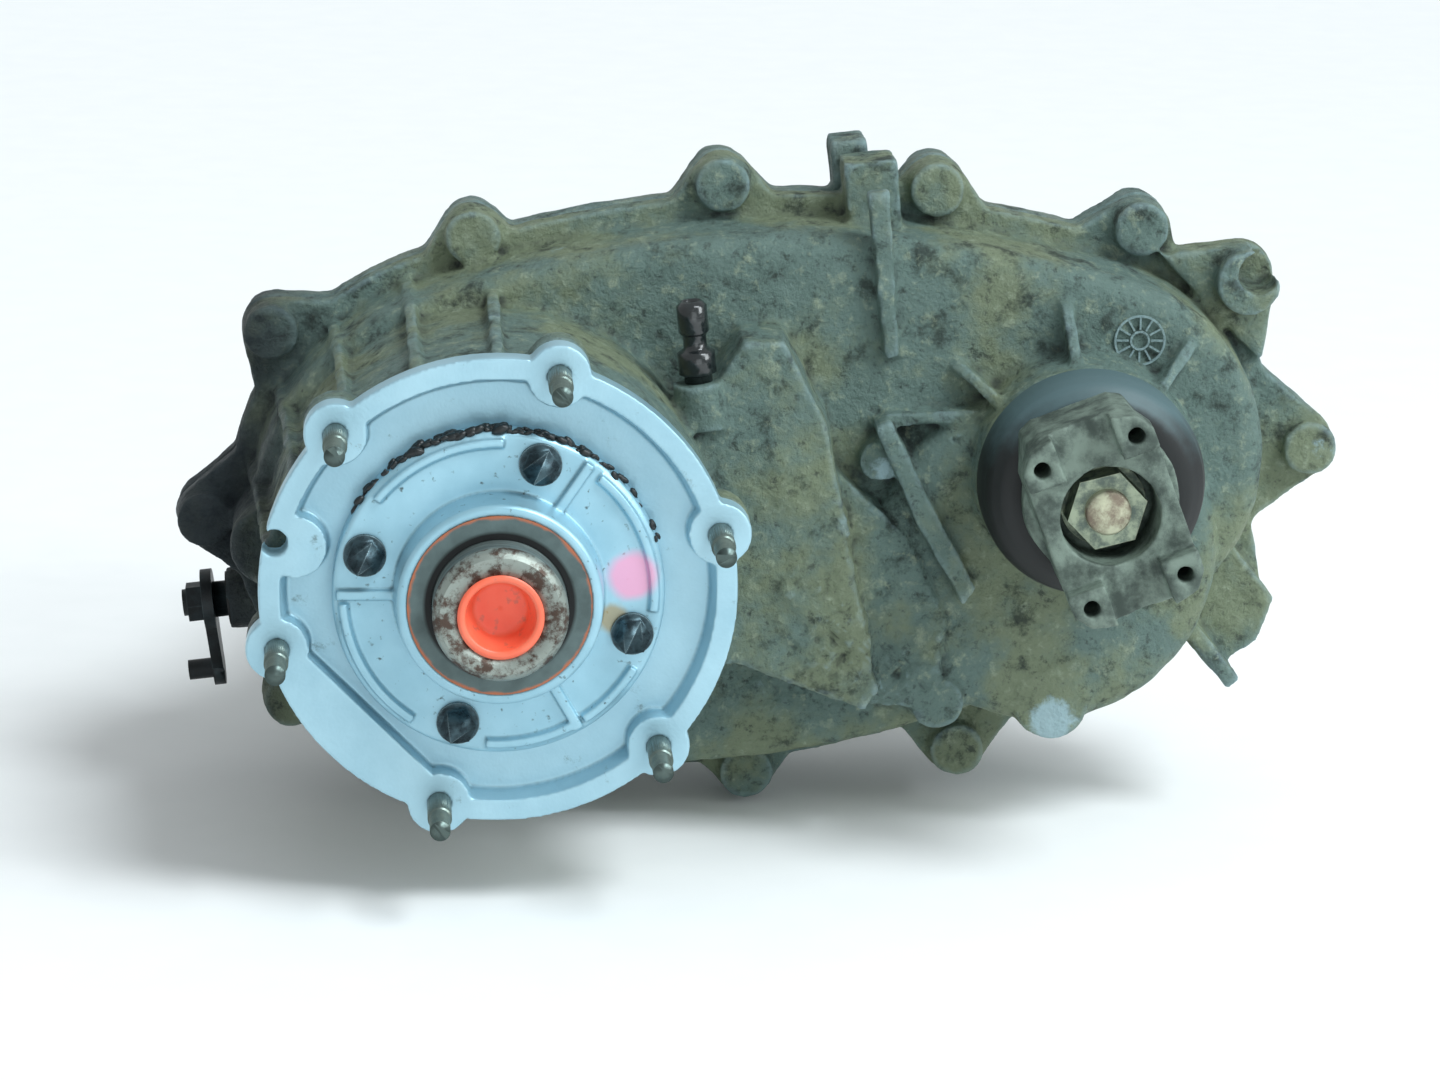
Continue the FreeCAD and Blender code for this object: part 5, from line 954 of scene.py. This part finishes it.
output_shaft = whole_piece("output_shaft_end", "front_output_shaft", "front_output")
# Turned steel gone dull: a straw-grey end with brown clouds.
rusty_end = plain_metal("dull_machined_steel", "#c8c9ae", "#86796a", 0.55, 0.5, 8, 0.7, 0.2)
output_shaft.data.materials.append(rusty_end)


# ---------------------------------------------------------------- dust slinger
# A pressed sheet-steel dome on the yoke's barrel that throws mud off the output seal. It was
# dipped in black enamel.

slinger = whole_piece("pressed_dust_slinger", "dust_slinger", "front_output", 40)

# Old enamel: black and half matt, grey-blue where it faces up: settled dust and a painted
# highlight from above.
slinger_paint, at = new_material("black_enamel_dust_and_painted_top_light")
patches = add(slinger_paint, "TexNoise", {
    "Vector": at, "Scale": 1 / (22.22 * millimetre), "Detail": 8, "Roughness": 0.65,
})
# Upward faces are lightened: partly settled dust, partly a painted highlight from above.
facing = add(slinger_paint, "NewGeometry").outputs["Normal"]
upward = add(slinger_paint, "SeparateXYZ", {"Vector": facing}).outputs["Z"]
dust_and_top_highlight = add(slinger_paint, "Math", {0: patches.outputs["Fac"], 1: 0.5, 2: upward},
              operation="MULTIPLY_ADD")
dust = add(slinger_paint, "MapRange", {
    "Value": dust_and_top_highlight.outputs["Value"], "From Min": 0.42, "From Max": 0.95, "To Max": 0.95,
}, interpolation_type="SMOOTHSTEP")
black = add(slinger_paint, "MixRGB", {
    "Fac": patches.outputs["Fac"], "Color1": linear("#050606"), "Color2": linear("#161b1c"),
})
tone = add(slinger_paint, "MixRGB", {
    "Fac": dust.outputs["Result"], "Color1": black.outputs["Color"], "Color2": linear("#4c6468"),
})
dented = add(slinger_paint, "Bump", {
    "Height": patches.outputs["Fac"], "Strength": 0.3, "Distance": 1 * millimetre,
})
finish_with(slinger_paint, {
    "Base Color": tone.outputs["Color"], "Roughness": 0.55, "Normal": dented.outputs["Normal"],
})
slinger.data.materials.append(slinger_paint)


# ---------------------------------------------------------------- breather and speed sensor
# Two moulded parts pushed into the case: the breather on top, which lets air out as the oil warms,
# and the sensor on the rear extension that counts the tone ring's teeth.

breather = whole_piece("case_breather", "breather", "case", 35)

# Moulded nylon wet with oil: deep black with sharp, wandering highlights.
nylon, at = new_material("oily_black_nylon")
drops = add(nylon, "TexNoise", {
    "Vector": at, "Scale": 1 / (6.25 * millimetre), "Detail": 5, "Roughness": 0.6,
})
tone = add(nylon, "MixRGB", {
    "Fac": drops.outputs["Fac"], "Color1": linear("#030506"), "Color2": linear("#22292b"),
})
wet = add(nylon, "Bump", {
    "Height": drops.outputs["Fac"], "Strength": 0.6, "Distance": 1.2 * millimetre,
})
finish_with(nylon, {
    "Base Color": tone.outputs["Color"], "Roughness": 0.16, "Normal": wet.outputs["Normal"],
    "Coat Weight": 0.6, "Coat Roughness": 0.08,
})
breather.data.materials.append(nylon)
whole_piece("output_speed_sensor", "speed_sensor", "case").data.materials.append(nylon)


# ---------------------------------------------------------------- selector shaft, lever and nut
# Steel parts at the side of the case. The lever is a flat pressing on the shaft's flats, held by
# a nut, and all three were painted together.

# Black paint under grease: dark blue-grey, half glossy, worn paler at the edges.
greasy_paint = plain_metal("greasy_black_paint", "#0c1316", "#1f2a2e", 0.3, 0.4, 12, 0.8, 0.2,
                           "#4d5e62")
for name, node in (("selector_cross_shaft", "selector_shaft"), ("selector_arm", "selector_lever"),
                   ("selector_arm_nut", "selector_nut")):
    whole_piece(name, node, "selector").data.materials.append(greasy_paint)


# ---------------------------------------------------------------- rear extension
# A casting of the same metal as the rear half, with a bronze bush and a seal at its end for the
# rear driveshaft's slip yoke. The case's other seals are of the same rubber.

extension = whole_piece("rear_extension", "extension_housing", "case", 32)
extension.data.materials.append(rear_metal)
# Bored bronze: warm brown-yellow and smooth.
bronze = plain_metal("bored_tin_bronze", "#b98a4f", "#8f6a3c", 0.9, 0.32, 10, 0.5, 0.05)
whole_piece("slip_bush", "slip_yoke_bush", "case").data.materials.append(bronze)
# Moulded nitrile rubber: black, matt and faintly dusty. It is no metal, so metallic is nought.
nitrile = plain_metal("black_nitrile_rubber", "#0a0c0d", "#1b2022", 0.0, 0.6, 8, 0.6, 0.12)
for name, node in (("front_output_seal", "output_seal"), ("rear_output_seal", "rear_seal"),
                   ("selector_shaft_seal", "selector_seal")):
    whole_piece(name, node, "case").data.materials.append(nitrile)


# ---------------------------------------------------------------- parts inside the case
# Hobbed and ground gears and shafts, superfinished bearing races, shot-blasted forks and a
# die-cast oil pump. All are wet with oil, and show only when the case is opened.

# Ground steel is mid grey and bright, a race is paler and nearly a mirror, a blasted forging is
# dark and dull, and the pump's casting is pale and satin.
oiled_steel = plain_metal("oil_wet_ground_steel", "#a9b0b2", "#7e8689", 0.95, 0.24, 25, 0.7,
                          0.04)
race_steel = plain_metal("superfinished_race_steel", "#c5cacc", "#a3aaac", 1.0, 0.14, 18, 0.6,
                         0.02)
fork_steel = plain_metal("shot_blasted_forged_steel", "#6c6a64", "#4b4a47", 0.5, 0.6, 12, 0.8,
                         0.2)
pump_metal = plain_metal("bare_die_cast_aluminium", "#b4babb", "#959c9e", 0.8, 0.4, 20, 0.7,
                         0.1)
inner_finish = {
    "machined_steel": oiled_steel,
    "bearing_steel": race_steel,
    "forged_steel": fork_steel,
    "pump_aluminium": pump_metal,
}
for name, node in frame["nodes"].items():
    material = inner_finish.get(slot_of[name])
    if material and not node.hide_render:
        node.data.materials.clear()
        node.data.materials.append(material)


# ---------------------------------------------------------------- finish
# The colours are shown through the standard view transform, and the scene is brought up to date.

bpy.context.scene.view_settings.view_transform = "Standard"
bpy.context.view_layer.update()
